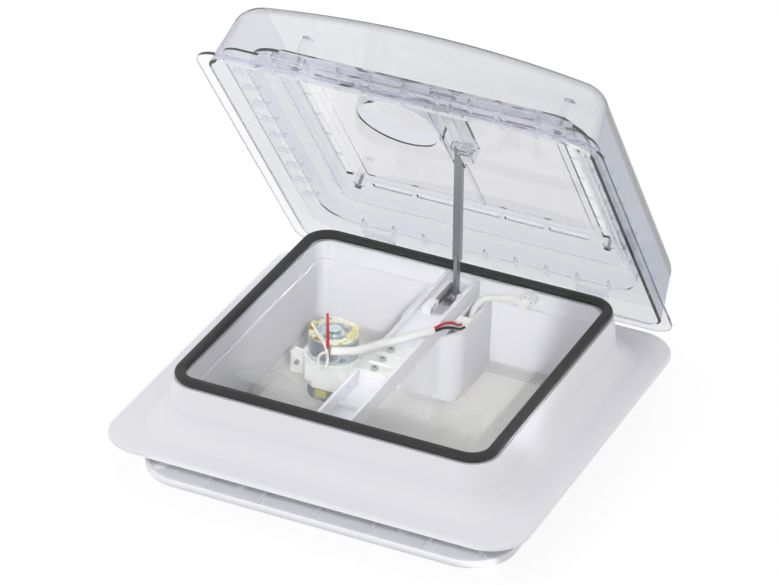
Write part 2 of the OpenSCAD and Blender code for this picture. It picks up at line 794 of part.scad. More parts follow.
module crossbar() color(white) {
    arm_slot_x = arm_x - arm_w / 2 - 1.2;
    arm_slot_end = arm_x + arm_w / 2 + 1.2;
    gear_left = worm_x - gear_w / 2 - 1.5;
    right_boss = arm_x + arm_foot_t / 2 + move_gap;
    back_bearing = worm_back + 0.4;
    front_bearing = worm_front - 0.4 - bearing_t;
    difference() {
        union() {
            for (x = [bar_left, bar_right - rail_t])
                block([x, -bar_half, rail_bottom], [x + rail_t, bar_half, rail_top]);
            for (y = [-bar_half, bar_half - end_plate_t])
                block([bar_left, y, rail_bottom], [bar_right, y + end_plate_t, rail_top - 1]);
            block([bar_left + overlap, deck_front, deck_z - deck_t],
                  [bar_right - overlap, bar_half - overlap, deck_z]);
            block([bar_left + overlap, -bar_half + overlap, rail_bottom],
                  [bar_right - overlap, deck_front + web_t, rail_bottom + trough_t]);
            block([bar_left + overlap, deck_front, rail_bottom], [bar_right - overlap, deck_front + web_t, deck_z]);
            block([bar_left + overlap, deck_front - front_web_gap, rail_bottom],
                  [bar_right - overlap, deck_front - front_web_gap + web_t, deck_z - 2]);
        }
        block([gear_left, worm_front - 0.4, rail_bottom - overlap], [arm_slot_end, back_bearing, rail_top]);
        block([arm_slot_x, arm_slot_front, rail_bottom - overlap], [arm_slot_end, back_bearing, rail_top]);
        block([bar_left - overlap, bridge_front - slide_gap, deck_z - 0.3],
              [bar_left + rail_t + overlap, bridge_back + slide_gap, rail_top + overlap]);
        translate([worm_x, crank_y, rail_bottom]) cylinder(r = bevel_r + 1.2, h = rail_top);
        at_bracket_screws() translate([0, 0, -bracket_bore_low])
            cylinder(d = small_screw_d + 2 * press_fit, h = bracket_bore_len);
        strap_foot_screw(press_fit);
        at_bar_screws() cylinder(d = small_screw_d + 2 * slide_gap, h = 4 * end_plate_t, center = true);
        pivot_bore();
    }
    difference() {
        union() {
            block([gear_left, back_bearing, rail_bottom], [arm_slot_end, back_bearing + bearing_t, worm_z + 2.6]);
            block([gear_left, front_bearing, deck_z - overlap],
                  [arm_slot_x - 0.2, front_bearing + bearing_t, worm_z + 2.6]);
            rod_x([(bar_left + gear_left + 1.1) / 2, arm_pivot_y, arm_pivot_z], 2 * pivot_boss_r,
                  gear_left + 1.1 - bar_left);
            rod_x([(bar_right + right_boss) / 2, arm_pivot_y, arm_pivot_z], 2 * pivot_boss_r,
                  bar_right - right_boss);
        }
        rod_y([worm_x, arm_pivot_y, worm_z], worm_shaft_d + 2 * run_fit, 2 * bar_half);
        pivot_bore();
    }
}

module pivot_bore() {
    rod_x([bar_x, arm_pivot_y, arm_pivot_z], pivot_pin_d + 2 * press_fit, bar_w - 2 * overlap);
}

module crossbar_screws() color(steel) {
    at_bar_screws() pan_screw(small_screw_d, small_head_d, small_head_h, end_plate_t + slide_gap + skin_t);
}

// Round-fronted opening beside the rail, below the wires
module wire_hole() {
    intersection() {
        well_outline(-well_wall - 1);
        translate([wire_slot_x - wire_slot_w / 2, plug_at.y - 1.5 - wire_hole_len])
            square([wire_slot_w, wire_hole_len]);
    }
}

module control_well() color(white) {
    top = rail_bottom;
    difference() {
        translate([0, 0, trim_face]) linear_extrude(top - trim_face) well_outline(0);
        translate([0, 0, trim_face - overlap]) linear_extrude(top - trim_face + overlap - well_wall)
            well_outline(-well_wall);
        block([wire_slot_x - wire_slot_w / 2, wire_slot_y, top - 2 * well_wall],
              [wire_slot_x + wire_slot_w / 2, wire_slot_y + wire_slot_len, top + overlap]);
        translate([0, 0, top - 2 * well_wall]) linear_extrude(2 * well_wall + overlap) wire_hole();
        translate([worm_x, crank_y, 0]) cylinder(d = crank_shaft_d + 2 * run_fit, h = top + overlap);
        block([worm_x - gear_w / 2 - 1, arm_pivot_y - arm_eye_r - 1.5, top - 2 * well_wall],
              [arm_x + arm_foot_t / 2 + 1, arm_pivot_y + arm_eye_r + 1.5, top + overlap]);
    }
}

module control_panel() color(white) {
    inset = well_wall + 0.3;
    difference() {
        translate([0, 0, panel_z]) linear_extrude(panel_t) well_outline(-inset);
        translate([worm_x, crank_y, panel_z - overlap])
            cylinder(d = crank_shaft_d + 2 * run_fit, h = panel_t + 2 * overlap);
        block([switch_x - switch_w / 2, switch_y - switch_len / 2, panel_z - overlap],
              [switch_x + switch_w / 2, switch_y + switch_len / 2, panel_z + panel_t + overlap]);
    }
}

module switch_body() color(black) {
    gap = 0.2;
    rim = 1.5;
    difference() {
        union() {
            block([switch_x - switch_w / 2 + gap, switch_y - switch_len / 2 + gap, panel_z - switch_flange],
                  [switch_x + switch_w / 2 - gap, switch_y + switch_len / 2 - gap, panel_z + switch_depth]);
            block([switch_x - switch_w / 2 - rim, switch_y - switch_len / 2 - rim, panel_z - switch_flange],
                  [switch_x + switch_w / 2 + rim, switch_y + switch_len / 2 + rim, panel_z]);
        }
        block([switch_x - rocker_w / 2 - move_gap, switch_y - rocker_len / 2 - 1.5,
               panel_z - switch_flange - overlap],
              [switch_x + rocker_w / 2 + move_gap, switch_y + rocker_len / 2 + 1.5, panel_z + 8]);
        rod_x([switch_x, switch_y, panel_z + 3], small_screw_d + 2 * press_fit, switch_w - 2);
    }
}

module switch_rocker() color(black) {
    tilt = 8;
    pivot_z = panel_z + 3;
    face_z = panel_z - switch_flange - rocker_stand;
    translate([switch_x, switch_y, pivot_z]) {
        rod_x([0, 0, 0], small_screw_d, switch_w - 2.4);
        rotate([0, 90, 0]) linear_extrude(rocker_w, center = true)
            for (side = [-1, 1]) mirror([0, side > 0 ? 1 : 0])
                polygon([[-2.5, 0], [-2.5, 0.3 * rocker_len], [3, rocker_len / 2],
                         [pivot_z - face_z, rocker_len / 2 - 0.6],
                         [pivot_z - face_z - rocker_len / 2 * tan(tilt), 0]]);
    }
}

module gear_cover() color(white) {
    reach = bevel_r + tooth_deep + cover_gap + cover_wall;
    low = [worm_x - reach, crank_y - reach, deck_z];
    high = [arm_x - arm_w / 2 - move_gap, worm_front - 0.8 - bearing_t, worm_z + reach];
    difference() {
        block(low, high);
        block([low.x + cover_wall, low.y + cover_wall, low.z - overlap],
              [high.x + overlap, high.y - cover_wall, high.z - cover_wall]);
        rod_y([worm_x, high.y, worm_z], worm_shaft_d + 2 * move_gap, 4 * cover_wall);
    }
}

// Lid

function ring(hx, hy, r) = [
    for (corner = [0 : 3])
        let (turn = 90 * corner, sx = [1, -1, -1, 1][corner], sy = [1, 1, -1, -1][corner],
             nx = [-1, -1, 1, 1][corner], ny = [1, -1, -1, 1][corner],
             start = [sx * (hx - r), sy * (hy - r)] + r * [cos(turn + 90), sin(turn + 90)],
             stop = [nx * (hx - r), ny * (hy - r)] + r * [cos(turn + 90), sin(turn + 90)])
        each concat([for (j = [0 : 6]) [sx * (hx - r), sy * (hy - r)] + r * [cos(turn + 15 * j), sin(turn + 15 * j)]],
                    [for (j = [1 : 7]) start + (stop - start) * j / 8])];

function crown(x) = dome_crown * (1 - pow(x / (lid_half - brim_w), 2));

// Ring of the dome at an inset from the brim and a height above it, shrunk towards the middle
function dome_ring(inset, height, shrink = 1) =
    [for (p = ring(lid_half - inset, lid_half_y - inset, max(lid_corner_r - inset / 2, 6)))
        let (x = p.x * shrink) [x, lid_mid_y + p.y * shrink, rim_z + height + crown(x) * height / dome_h]];

function skirt_inset(height) = brim_w + dome_draft * height / dome_h;

// Shoulder and top of one skin of the dome, from its middle down to its skirt
function dome_skin(depth) =
    let (r = dome_edge_r - depth, foot = dome_h - dome_edge_r, side = skirt_inset(foot) + depth,
         top = dome_h - depth)
    concat([for (k = [0.1 : 0.2 : 0.95]) dome_ring(side + r, top, k)],
           [for (a = [90 : -18 : 0]) dome_ring(side + r * (1 - cos(a)), foot + r * sin(a))]);

module lid_dome() color(clear) opened() {
    outer = dome_skin(0);
    inner = dome_skin(dome_wall);
    brim = [dome_ring(skirt_inset(brim_t), brim_t), dome_ring(0.4, brim_t), dome_ring(0, brim_t / 2),
            dome_ring(0.4, 0), dome_ring(brim_w + dome_wall, 0)];
    rings = concat(outer, brim, [for (i = [len(inner) - 1 : -1 : 0]) inner[i]]);
    n = len(rings[0]);
    count = len(rings);
    peak = [0, lid_mid_y, rim_z + dome_h + dome_crown];
    points = concat([for (row = rings) each row], [peak, peak - [0, 0, dome_wall * (1 + dome_crown / dome_h)]]);
    faces = concat(
        [for (i = [0 : count - 2], j = [0 : n - 1]) let (k = (j + 1) % n)
            each [[i * n + j, i * n + k, (i + 1) * n + k], [i * n + j, (i + 1) * n + k, (i + 1) * n + j]]],
        [for (j = [0 : n - 1]) [count * n, (j + 1) % n, j]],
        [for (j = [0 : n - 1]) [count * n + 1, (count - 1) * n + j, (count - 1) * n + (j + 1) % n]]);
    polyhedron(points, faces, convexity = 6);
}

module slot_border() {
    for (side = [-1, 1], i = [-2 : 2]) {
        translate([i * slot_pitch, side * slot_end]) square([slot_len, slot_w], center = true);
        translate([side * slot_side, i * slot_pitch * 0.9]) square([slot_w, slot_len], center = true);
    }
}

// Flat raised frame inside the slotted border
module pane_bead() {
    size = 2 * [slot_side - bead_inset, slot_end - bead_inset];
    difference() {
        rounded_rect(size, bead_r);
        rounded_rect(size - 2 * [bead_w, bead_w], bead_r / 2);
    }
}

module track_envelope(grow) {
    half = track_in_w / 2 + track_wall + grow;
    block([arm_x - half, track_back - track_len - grow, pane_z + pane_t],
          [arm_x + half, track_back + grow, track_top + track_wall + grow]);
}

module lid_pane() color(clear) opened() {
    land_half = neck_mid + land_out_r;
    ledge_rib_run = 2 * neck_half / (ledge_ribs + 1);
    difference() {
        union() {
            loop_sweep(neck_mid) {
                translate([land_in_r - pane_wall, land_z]) square([pane_wall, pane_z + pane_t - land_z]);
                translate([land_in_r - pane_wall, land_z]) square([land_out_r - land_in_r + pane_wall, pane_t]);
                translate([land_out_r - pane_wall, ledge_z]) square([pane_wall, land_z + pane_t - ledge_z]);
            }
            translate([0, 0, pane_z]) linear_extrude(pane_t) rounded_rect([2 * pane_half, 2 * pane_half], land_in_r);
            translate([0, 0, ledge_z]) linear_extrude(pane_t) difference() {
                translate([0, lid_mid_y]) rounded_rect([2 * ledge_half, 2 * ledge_half_y], ledge_corner_r);
                rounded_rect([2 * (land_half - pane_wall), 2 * (land_half - pane_wall)], land_out_r - pane_wall);
            }
            for (k = [0 : 3], i = [-(ledge_ribs - 1) / 2 : (ledge_ribs - 1) / 2])
                rotate([0, 0, 90 * k]) translate([0, i * ledge_rib_run, 0])
                    block([land_half - overlap, -ledge_rib_t / 2, ledge_z + overlap],
                          [ledge_half - 1, ledge_rib_t / 2, ledge_z + pane_t + ledge_rib_h]);
            translate([pocket_x, pocket_y, pane_z]) cylinder(r = pocket_r + pane_wall, h = pocket_depth + pane_wall);
            translate([0, 0, pane_z + overlap]) linear_extrude(pane_t + bead_h - overlap) pane_bead();
            block([arm_x - center_rib_t / 2, pane_gap_back + 1, pane_z + overlap],
                  [arm_x + center_rib_t / 2, slot_end - slot_w, pane_z + pane_t + center_rib_h]);
        }
        translate([pocket_x, pocket_y, pane_z - overlap]) cylinder(r = pocket_r, h = pocket_depth + overlap);
        translate([0, 0, pane_z - overlap]) linear_extrude(pane_t + 2 * overlap) slot_border();
        block([tip_x - track_gap / 2, track_back - track_len + 4, pane_z - overlap],
              [tip_x + track_gap / 2, pane_gap_back, pane_z + pane_t + overlap]);
        track_envelope(slide_gap);
        at_pane_screws() translate([0, 0, pane_z - overlap])
            cylinder(d = small_screw_d + 2 * slide_gap, h = pane_t + 2 * overlap);
    }
}

module lid_track() color(clear) opened() {
    half = track_in_w / 2;
    low = pane_z + pane_t;
    front = track_back - track_len;
    difference() {
        block([arm_x - half - track_wall, front, low],
              [arm_x + half + track_wall, track_back, track_top + track_wall]);
        block([arm_x - half, front - overlap, low + track_lip_t], [arm_x + half, track_back + overlap, track_top]);
        block([tip_x - track_gap / 2, front - overlap, low - overlap],
              [tip_x + track_gap / 2, track_back + overlap, track_top]);
    }
}

module at_pane_screws() {
    for (side = [-1, 1], y = post_y) translate([side * post_x, y, 0]) children();
}

module lid_posts() color(clear) opened() {
    low = pane_z + pane_t;
    top = rim_z + dome_h - dome_wall + crown(post_x + post_r) * (dome_h - dome_wall) / dome_h - 0.4;
    at_pane_screws() difference() {
        translate([0, 0, low]) cylinder(r = post_r, h = top - low);
        translate([0, 0, low - overlap]) cylinder(d = small_screw_d + 2 * press_fit, h = 14);
    }
}

module lid_screws() color(steel) opened() {
    at_pane_screws() translate([0, 0, pane_z]) mirror([0, 0, 1])
        pan_screw(small_screw_d, pane_screw_head_d, pane_screw_head_h, pane_t + 10);
}

module lid_hinges() color(white) opened() {
    web_t_half = 3;
    pad = [hinge_leaf_w + 8, 12, 3];
    at_hinge_pairs() difference() {
        union() {
            rod_x([0, 0, 0], hinge_eye_d, hinge_leaf_w);
            block([-hinge_leaf_w / 2, -web_t_half, 0], [hinge_leaf_w / 2, web_t_half, ledge_z - hinge_z]);
            block([-pad.x / 2, -pad.y / 2 - 2, ledge_z - hinge_z - pad.z],
                  [pad.x / 2, pad.y / 2 - 2, ledge_z - hinge_z]);
        }
        rod_x([0, 0, 0], hinge_pin_d + 2 * run_fit, hinge_leaf_w + 2 * overlap);
    }
}

// Lift gear

module lift_arm() color(steel) {
    half = arm_w / 2;
    difference() {
        union() {
            rod_x([arm_x, arm_pivot_y, arm_pivot_z], 2 * arm_eye_r, arm_foot_t);
            block([arm_x - arm_foot_t / 2, arm_pivot_y - arm_foot_w / 2, arm_pivot_z],
                  [arm_x + arm_foot_t / 2, arm_pivot_y + arm_foot_w / 2, arm_pivot_z + arm_foot_len]);
            translate([arm_x, arm_pivot_y - arm_depth / 2, fold_z]) rotate([0, -arm_lean, 0]) {
                block([-half, 0, 0], [half, arm_sheet, channel_len - tip_eye_r - 1]);
                for (x = [-half, half - arm_sheet])
                    block([x, 0, 0], [x + arm_sheet, arm_depth, channel_len]);
            }
            for (side = [-1, 1])
                rod_x([tip_x + side * (half - arm_sheet / 2), arm_pivot_y, tip_z], 2 * tip_eye_r, arm_sheet);
        }
        rod_x([arm_x, arm_pivot_y, arm_pivot_z], pivot_pin_d + 2 * run_fit, 4 * arm_foot_t);
        rod_x([tip_x, arm_pivot_y, tip_z], tip_pin_d + 2 * press_fit, 2 * arm_w);
    }
}

module arm_gear() color(zinc) {
    step = 360 / gear_teeth;
    root_r = gear_pitch_r - tooth_root;
    tip_r = gear_pitch_r + tooth_rise;
    outline = [for (k = [0 : gear_teeth - 1]) each [
        for (corner = [[root_r, -0.26], [tip_r, -0.12], [tip_r, 0.12], [root_r, 0.26]])
            corner[0] * [cos((k + corner[1]) * step), sin((k + corner[1]) * step)]]];
    hub_len = arm_x - arm_foot_t / 2 - worm_x;
    translate([worm_x, arm_pivot_y, arm_pivot_z]) rotate([90, 0, 90]) difference() {
        union() {
            rotate([0, 0, 90]) linear_extrude(gear_w, center = true) polygon(outline);
            cylinder(r = gear_hub_r, h = hub_len);
        }
        cylinder(d = pivot_pin_d + 2 * run_fit, h = 4 * gear_w, center = true);
    }
}

module arm_pivot_pin() color(steel) {
    rod_x([bar_x, arm_pivot_y, arm_pivot_z], pivot_pin_d, bar_w - 2 * overlap - 0.4);
}

module arm_tip_pin() color(steel) {
    rod_x([arm_x, arm_pivot_y, tip_z], tip_pin_d, 2 * shoe_half);
}

// The arm's tip sits off the middle of the shoe, which fills the track
module rail_shoe() color(clear) opened() {
    left = -tip_shift - arm_w / 2 - 2 * move_gap;
    right = -tip_shift + arm_w / 2 + 2 * move_gap;
    translate([arm_x, tip_y, track_z]) difference() {
        block([-shoe_half, -shoe_len / 2, -shoe_low], [shoe_half, shoe_len / 2, shoe_high]);
        block([left, -shoe_len, -shoe_low - overlap], [right, shoe_len, shoe_high - shoe_bridge]);
        rod_x([0, 0, 0], tip_pin_d + 2 * run_fit, 3 * shoe_half);
    }
}

// Radius of the worm at a place along the thread, counted in leads
function thread_r(phase) =
    let (f = abs(phase - round(phase)))
    f < 0.12 ? worm_pitch_r + tooth_rise
    : f < 0.26 ? worm_pitch_r + tooth_rise - (tooth_rise + tooth_root) * (f - 0.12) / 0.14
    : worm_pitch_r - tooth_root;

module worm() color(steel) {
    rows = round(worm_len / lead * worm_steps);
    points = [for (i = [0 : rows], k = [0 : worm_sides - 1])
        let (y = worm_front - arm_pivot_y + worm_len * i / rows, a = 360 * k / worm_sides,
             r = thread_r(y / lead - a / 360))
        [r * sin(a), y, r * cos(a)]];
    ends = [[0, worm_front - arm_pivot_y, 0], [0, worm_back - arm_pivot_y, 0]];
    cap = len(points);
    faces = concat(
        [for (i = [0 : rows - 1], k = [0 : worm_sides - 1]) let (n = (k + 1) % worm_sides)
            each [[i * worm_sides + k, (i + 1) * worm_sides + n, (i + 1) * worm_sides + k],
                  [i * worm_sides + k, i * worm_sides + n, (i + 1) * worm_sides + n]]],
        [for (k = [0 : worm_sides - 1]) [cap, (k + 1) % worm_sides, k]],
        [for (k = [0 : worm_sides - 1]) [cap + 1, rows * worm_sides + k, rows * worm_sides + (k + 1) % worm_sides]]);
    translate([worm_x, arm_pivot_y, worm_z]) polyhedron(concat(points, ends), faces, convexity = 8);
}

module worm_shaft() color(steel) {
    back_len = bearing_t + 0.8;
    rod_y([worm_x, worm_back + back_len / 2, worm_z], worm_shaft_d, back_len);
    front_len = worm_front - crank_y - bevel_back;
    rod_y([worm_x, worm_front - front_len / 2, worm_z], worm_shaft_d, front_len);
}

// Bevel gear with its apex at the origin and its axis along +Z
module bevel(phase) {
    near = bevel_r - bevel_face;
    back_share = 0.7;
    step = 360 / bevel_teeth;
    profile = [[-0.3, -tooth_deep], [-0.12, tooth_deep], [0.12, tooth_deep], [0.3, -tooth_deep]];
    n = 4 * bevel_teeth;
    function at(distance) = [for (k = [0 : bevel_teeth - 1], c = profile)
        let (a = (k + phase + c[0]) * step, rise = c[1] * distance / bevel_r * sqrt(0.5))
        [(distance + rise) * cos(a), (distance + rise) * sin(a), distance - rise]];
    back = [for (p = at(bevel_r)) [back_share * p.x, back_share * p.y, bevel_back]];
    points = concat(at(near), at(bevel_r), back, [[0, 0, near], [0, 0, bevel_back]]);
    faces = concat(
        [for (row = [0, n], k = [0 : n - 1]) let (m = (k + 1) % n)
            each [[row + k, row + n + k, row + n + m], [row + k, row + n + m, row + m]]],
        [for (k = [0 : n - 1]) [3 * n, k, (k + 1) % n]],
        [for (k = [0 : n - 1]) [3 * n + 1, 2 * n + (k + 1) % n, 2 * n + k]]);
    polyhedron(points, faces, convexity = 6);
}

module worm_bevel() color(zinc) {
    translate([worm_x, crank_y, worm_z]) rotate([-90, 0, 0]) rotate([0, 0, 90]) bevel(0);
}

module crank_bevel() color(zinc) {
    translate([worm_x, crank_y, worm_z]) rotate([180, 0, 0]) rotate([0, 0, -90]) bevel(0.5);
}

module crank_shaft() color(steel) {
    low = panel_z - knob_gap - knob_h / 2;
    translate([worm_x, crank_y, low]) cylinder(d = crank_shaft_d, h = crank_top - low);
}

module crank_knob() color([0.75, 0.76, 0.78]) {
    top = panel_z - knob_gap;
    grips = 8;
    translate([worm_x, crank_y, top - knob_h]) difference() {
        cylinder(d = knob_d, h = knob_h);
        for (k = [0 : grips - 1])
            rotate([0, 0, 360 * k / grips]) translate([knob_d / 2 + 2, 0, -overlap])
                cylinder(r = 4, h = knob_h + 2 * overlap);
        translate([0, 0, knob_h / 2]) cylinder(d = crank_shaft_d + 2 * press_fit, h = knob_h);
    }
}

// Motor, its clamp and the fan

module at_bracket_screws() {
    for (i = [0 : 2])
        translate([bracket_screw_x, bracket_front + ridge_w / 2 + (i + 0.5) * bracket_screw_pitch, deck_z])
            children();
}

module clamp_half(side) {
    low = clamp_top - clamp_h;
    difference() {
        at_motor() translate([0, 0, low]) cylinder(r = clamp_out_r, h = clamp_h);
        at_motor() translate([0, 0, low - overlap]) cylinder(r = clamp_in_r, h = clamp_h + 2 * overlap);
        translate([motor_x, motor_y - side * (clamp_out_r - clamp_split), low + clamp_h / 2])
            cube([3 * clamp_out_r, 2 * clamp_out_r, 2 * clamp_h], center = true);
    }
}

module clamp_tab(side) {
    y = motor_y + side * (clamp_split + tab_t / 2);
    translate([motor_x - clamp_out_r - tab_len / 2 + overlap, y, clamp_top - (clamp_h + tab_sink + tab_drop) / 2])
        cube([tab_len + 2 * overlap, tab_t, clamp_h + tab_sink - tab_drop], center = true);
}

module strap_tab_screw(clearance) {
    rod_y([motor_x - clamp_out_r - tab_len / 2, motor_y, tab_screw_z],
          small_screw_d + 2 * clearance, 2 * tab_t + 4 * clamp_split);
}

module strap_foot_screw(clearance) {
    reach = clamp_t + clamp_bar_gap + overlap;
    rod_x([bar_left + (rail_t + overlap - reach) / 2, foot_screw_y, foot_screw_z], small_screw_d + 2 * clearance,
          rail_t + overlap + reach);
}

// Space that the bracket leaves for the strap's half of the clamp
module strap_room() {
    intersection() {
        at_motor() cylinder(r = clamp_out_r + slide_gap, h = 2 * rail_top);
        block([motor_x - 2 * clamp_out_r, motor_y - 2 * clamp_out_r, 0],
              [motor_x + 2 * clamp_out_r, motor_y + clamp_split, 2 * rail_top]);
    }
}

module motor_bracket() color(white) {
    left = bar_left + rail_t + 0.3;
    right = bar_right - rail_t - 0.3;
    difference() {
        union() {
            block([left, bracket_front, deck_z], [right, bracket_front + bracket_len, deck_z + bracket_t]);
            for (i = [0 : 3])
                block([left, bracket_front + i * bracket_screw_pitch, deck_z],
                      [right, bracket_front + i * bracket_screw_pitch + ridge_w, rail_top]);
            difference() {
                block([motor_x + motor_r / 2, bridge_front, deck_z], [left + overlap, bridge_back, rail_top]);
                at_motor() cylinder(r = clamp_in_r, h = 2 * rail_top);
                strap_room();
            }
            clamp_half(1);
            clamp_tab(1);
        }
        strap_tab_screw(press_fit);
        at_bracket_screws() translate([0, 0, -overlap])
            cylinder(d = small_screw_d + 2 * slide_gap, h = 3 * bracket_t);
    }
}

module bracket_screws() color(steel) {
    at_bracket_screws() translate([0, 0, bracket_t])
        pan_screw(small_screw_d, small_head_d, small_head_h, bracket_t + deck_t + 2);
}

module motor_strap() color(white) {
    low = clamp_top - clamp_h;
    front = motor_y - clamp_out_r;
    right = bar_left - clamp_bar_gap;
    difference() {
        union() {
            clamp_half(-1);
            clamp_tab(-1);
            difference() {
                union() {
                    block([motor_x - strap_reach + strap_step.x, front, low], [right, front + clamp_t, clamp_top]);
                    block([motor_x - strap_reach, front, low + strap_step.y],
                          [motor_x, front + strap_deep, clamp_top]);
                }
                at_motor() cylinder(r = clamp_in_r, h = 2 * clamp_top);
            }
            block([right - clamp_t, front - foot_len, low + 6], [right, front + clamp_t, clamp_top]);
        }
        strap_tab_screw(slide_gap);
        strap_foot_screw(slide_gap);
    }
}

module strap_screws() color(steel) {
    translate([motor_x - clamp_out_r - tab_len / 2, motor_y - clamp_split - tab_t, tab_screw_z])
        rotate([90, 0, 0]) pan_screw(small_screw_d, strap_head_d, small_head_h, 2 * tab_t);
    translate([bar_left - clamp_bar_gap - clamp_t, foot_screw_y, foot_screw_z])
        rotate([0, -90, 0]) pan_screw(small_screw_d, strap_head_d, small_head_h, clamp_t + rail_t);
}

module motor_can() color(zinc) at_motor() difference() {
    union() {
        translate([0, 0, motor_low]) cylinder(r = motor_r, h = motor_len);
        translate([0, 0, boss_low]) cylinder(d = 3 * shaft_d, h = motor_low - boss_low + overlap);
        translate([0, 0, motor_top - overlap]) cylinder(r = 0.3 * motor_r, h = rear_boss_h + overlap);
    }
    translate([0, 0, motor_low + can_wall])
        cylinder(r = motor_r - can_wall, h = motor_len - 2 * can_wall - end_dish_depth);
    translate([0, 0, motor_top - end_dish_depth]) difference() {
        cylinder(r = end_dish_r, h = end_dish_depth + overlap);
        cylinder(r = 0.42 * motor_r, h = end_dish_depth + overlap);
    }
    translate([0, 0, boss_low - overlap]) cylinder(d = shaft_d + 2 * run_fit, h = motor_top - boss_low - overlap);
}

module motor_magnets() color([0.25, 0.25, 0.27]) at_motor() difference() {
    out_r = motor_r - can_wall - 0.1;
    translate([0, 0, motor_low + magnet_low]) cylinder(r = out_r, h = motor_len - magnet_low - magnet_high);
    translate([0, 0, motor_low]) cylinder(r = rotor_r + rotor_gap, h = motor_len);
    rotate([0, 0, 45]) translate([0, 0, motor_low + motor_len / 2])
        cube([magnet_split, 3 * motor_r, 2 * motor_len], center = true);
}

module motor_end_ring() color(white) at_motor() translate([0, 0, motor_top]) difference() {
    cylinder(r = motor_r - 0.8, h = end_ring_h);
    translate([0, 0, -overlap]) cylinder(r = end_dish_r, h = end_ring_h + 2 * overlap);
}

module motor_suppressors() color([0.82, 0.76, 0.4]) at_motor() {
    for (turn = [188, 18, 345])
        rotate([0, 0, turn]) translate([end_ring_mid, 0, motor_top + end_ring_h])
            rotate([0, 0, 90]) linear_extrude(suppressor.z) rounded_rect([suppressor.x, suppressor.y], 1.5);
    difference() {
        translate([-pad_w / 2, -motor_r - pad_t, pad_low]) cube([pad_w, motor_r, pad_h]);
        cylinder(r = motor_r + press_fit, h = motor_top);
    }
}

module motor_terminals() color([0.8, 0.65, 0.35]) at_motor() {
    for (turn = [133, 205])
        rotate([0, 0, turn]) translate([end_ring_mid, 0, motor_top + end_ring_h])
            block([-2, -0.5, 0], [2, 0.5, 3.2]);
}

module fan_shaft() color(steel) at_motor()
    translate([0, 0, shaft_low]) cylinder(d = shaft_d, h = motor_top - 3 - shaft_low);

module motor_rotor() color([0.45, 0.3, 0.2]) at_motor() translate([0, 0, motor_low + rotor_low]) difference() {
    cylinder(r = rotor_r, h = motor_len - rotor_low - rotor_high);
    translate([0, 0, -overlap]) cylinder(d = shaft_d + 2 * press_fit, h = motor_len);
}

module blade_outline() {
    tip = 14;
    spread = 24;
    intersection() {
        circle(fan_r, $fn = 96);
        polygon([[hub_r - 3, -5], [fan_r * 0.55, -fan_r * 0.55 * tan(spread * 0.9)],
                 [fan_r * 1.2, -fan_r * 1.2 * tan(spread)], [fan_r * 1.2, fan_r * 1.2 * tan(spread)],
                 [fan_r * 0.55, fan_r * 0.55 * tan(spread * 0.9)], [hub_r - 3, 5]]);
        union() {
            translate([0, -fan_r]) square([fan_r - tip, 2 * fan_r]);
            for (side = [-1, 1])
                rotate([0, 0, side * spread]) translate([fan_r - tip, -side * tip]) circle(tip);
            rotate([0, 0, -spread + 9]) rotate_wedge(2 * spread - 18);
        }
    }
}

// Flat sector of a disc, starting on +X
module rotate_wedge(angle) {
    far = 1.5 * fan_r;
    polygon([[0, 0], [far, 0], [far * cos(angle / 2), far * sin(angle / 2)], [far * cos(angle), far * sin(angle)]]);
}

module fan_wheel() color(clear) at_motor() difference() {
    union() {
        translate([0, 0, hub_top - hub_h]) cylinder(r = hub_r, h = hub_h);
        for (k = [0 : fan_blades - 1])
            rotate([0, 0, blade_first + 360 * k / fan_blades]) translate([0, 0, blade_z])
                rotate([blade_pitch, 0, 0]) linear_extrude(blade_t, center = true) blade_outline();
    }
    translate([0, 0, hub_top - 2 * hub_h]) cylinder(d = shaft_d + 2 * press_fit, h = 3 * hub_h);
}

module fan_nut() color(steel) at_motor() translate([0, 0, shaft_low]) difference() {
    cylinder(d = 2 * shaft_d, h = hub_top - hub_h - shaft_low, $fn = 6);
    translate([0, 0, -overlap]) cylinder(d = shaft_d + 2 * press_fit, h = 2 * shaft_d);
}

// Wiring

module lead_sleeve() color(white) tube(sleeve_route, sleeve_d, 3, [0, 0, 1]);

module wire_red() color([0.8, 0.1, 0.12]) tube(red_route, wire_d, 3, [1, 0, 0]);

module wire_black() color(black) tube(black_route, wire_d, 3, [1, 0, 0]);

module motor_wire_red() color([0.8, 0.1, 0.12]) tube(motor_red_route, motor_wire_d, 3, [1, 0.3, 0]);

module motor_wire_white() color(white) tube(motor_white_route, motor_wire_d, 3, [0, 1, 0]);

module control_lead() color(white) tube(control_route, lead_d, 3, [0, 1, 0]);

module lead_plug() color(white) {
    low = [plug_at.x - plug_size.x / 2, plug_at.y, plug_at.z];
    difference() {
        block(low, low + plug_size);
        for (x = [-1, 1])
            translate([plug_at.x + x * 0.22 * plug_size.x, plug_at.y + plug_size.y, plug_at.z + plug_size.z / 2])
                cube([plug_socket.x, 2 * plug_socket.y, plug_socket.z], center = true);
    }
}

// Two round sockets side by side on a sloping block
module control_connector() color(white) translate(connector_at) rotate([0, connector_turn, 0]) {
    difference() {
        union() {
            block([-connector_body.x / 2, 0, -connector_body.z], [connector_body.x / 2, connector_body.y, 0]);
            block([-connector_eye_gap / 2, 0, -overlap],
                  [connector_eye_gap / 2, connector_body.y, connector_eye_rise]);
            for (side = [-1, 1]) connector_eye(side, connector_eye_r, connector_body.y);
        }
        for (side = [-1, 1]) translate([0, -overlap, 0])
            connector_eye(side, connector_bore_r, connector_eye_depth + overlap);
    }
}

module connector_eye(side, r, len) {
    translate([side * connector_eye_gap / 2, len, connector_eye_rise])
        rotate([90, 0, 0]) cylinder(r = r, h = len);
}

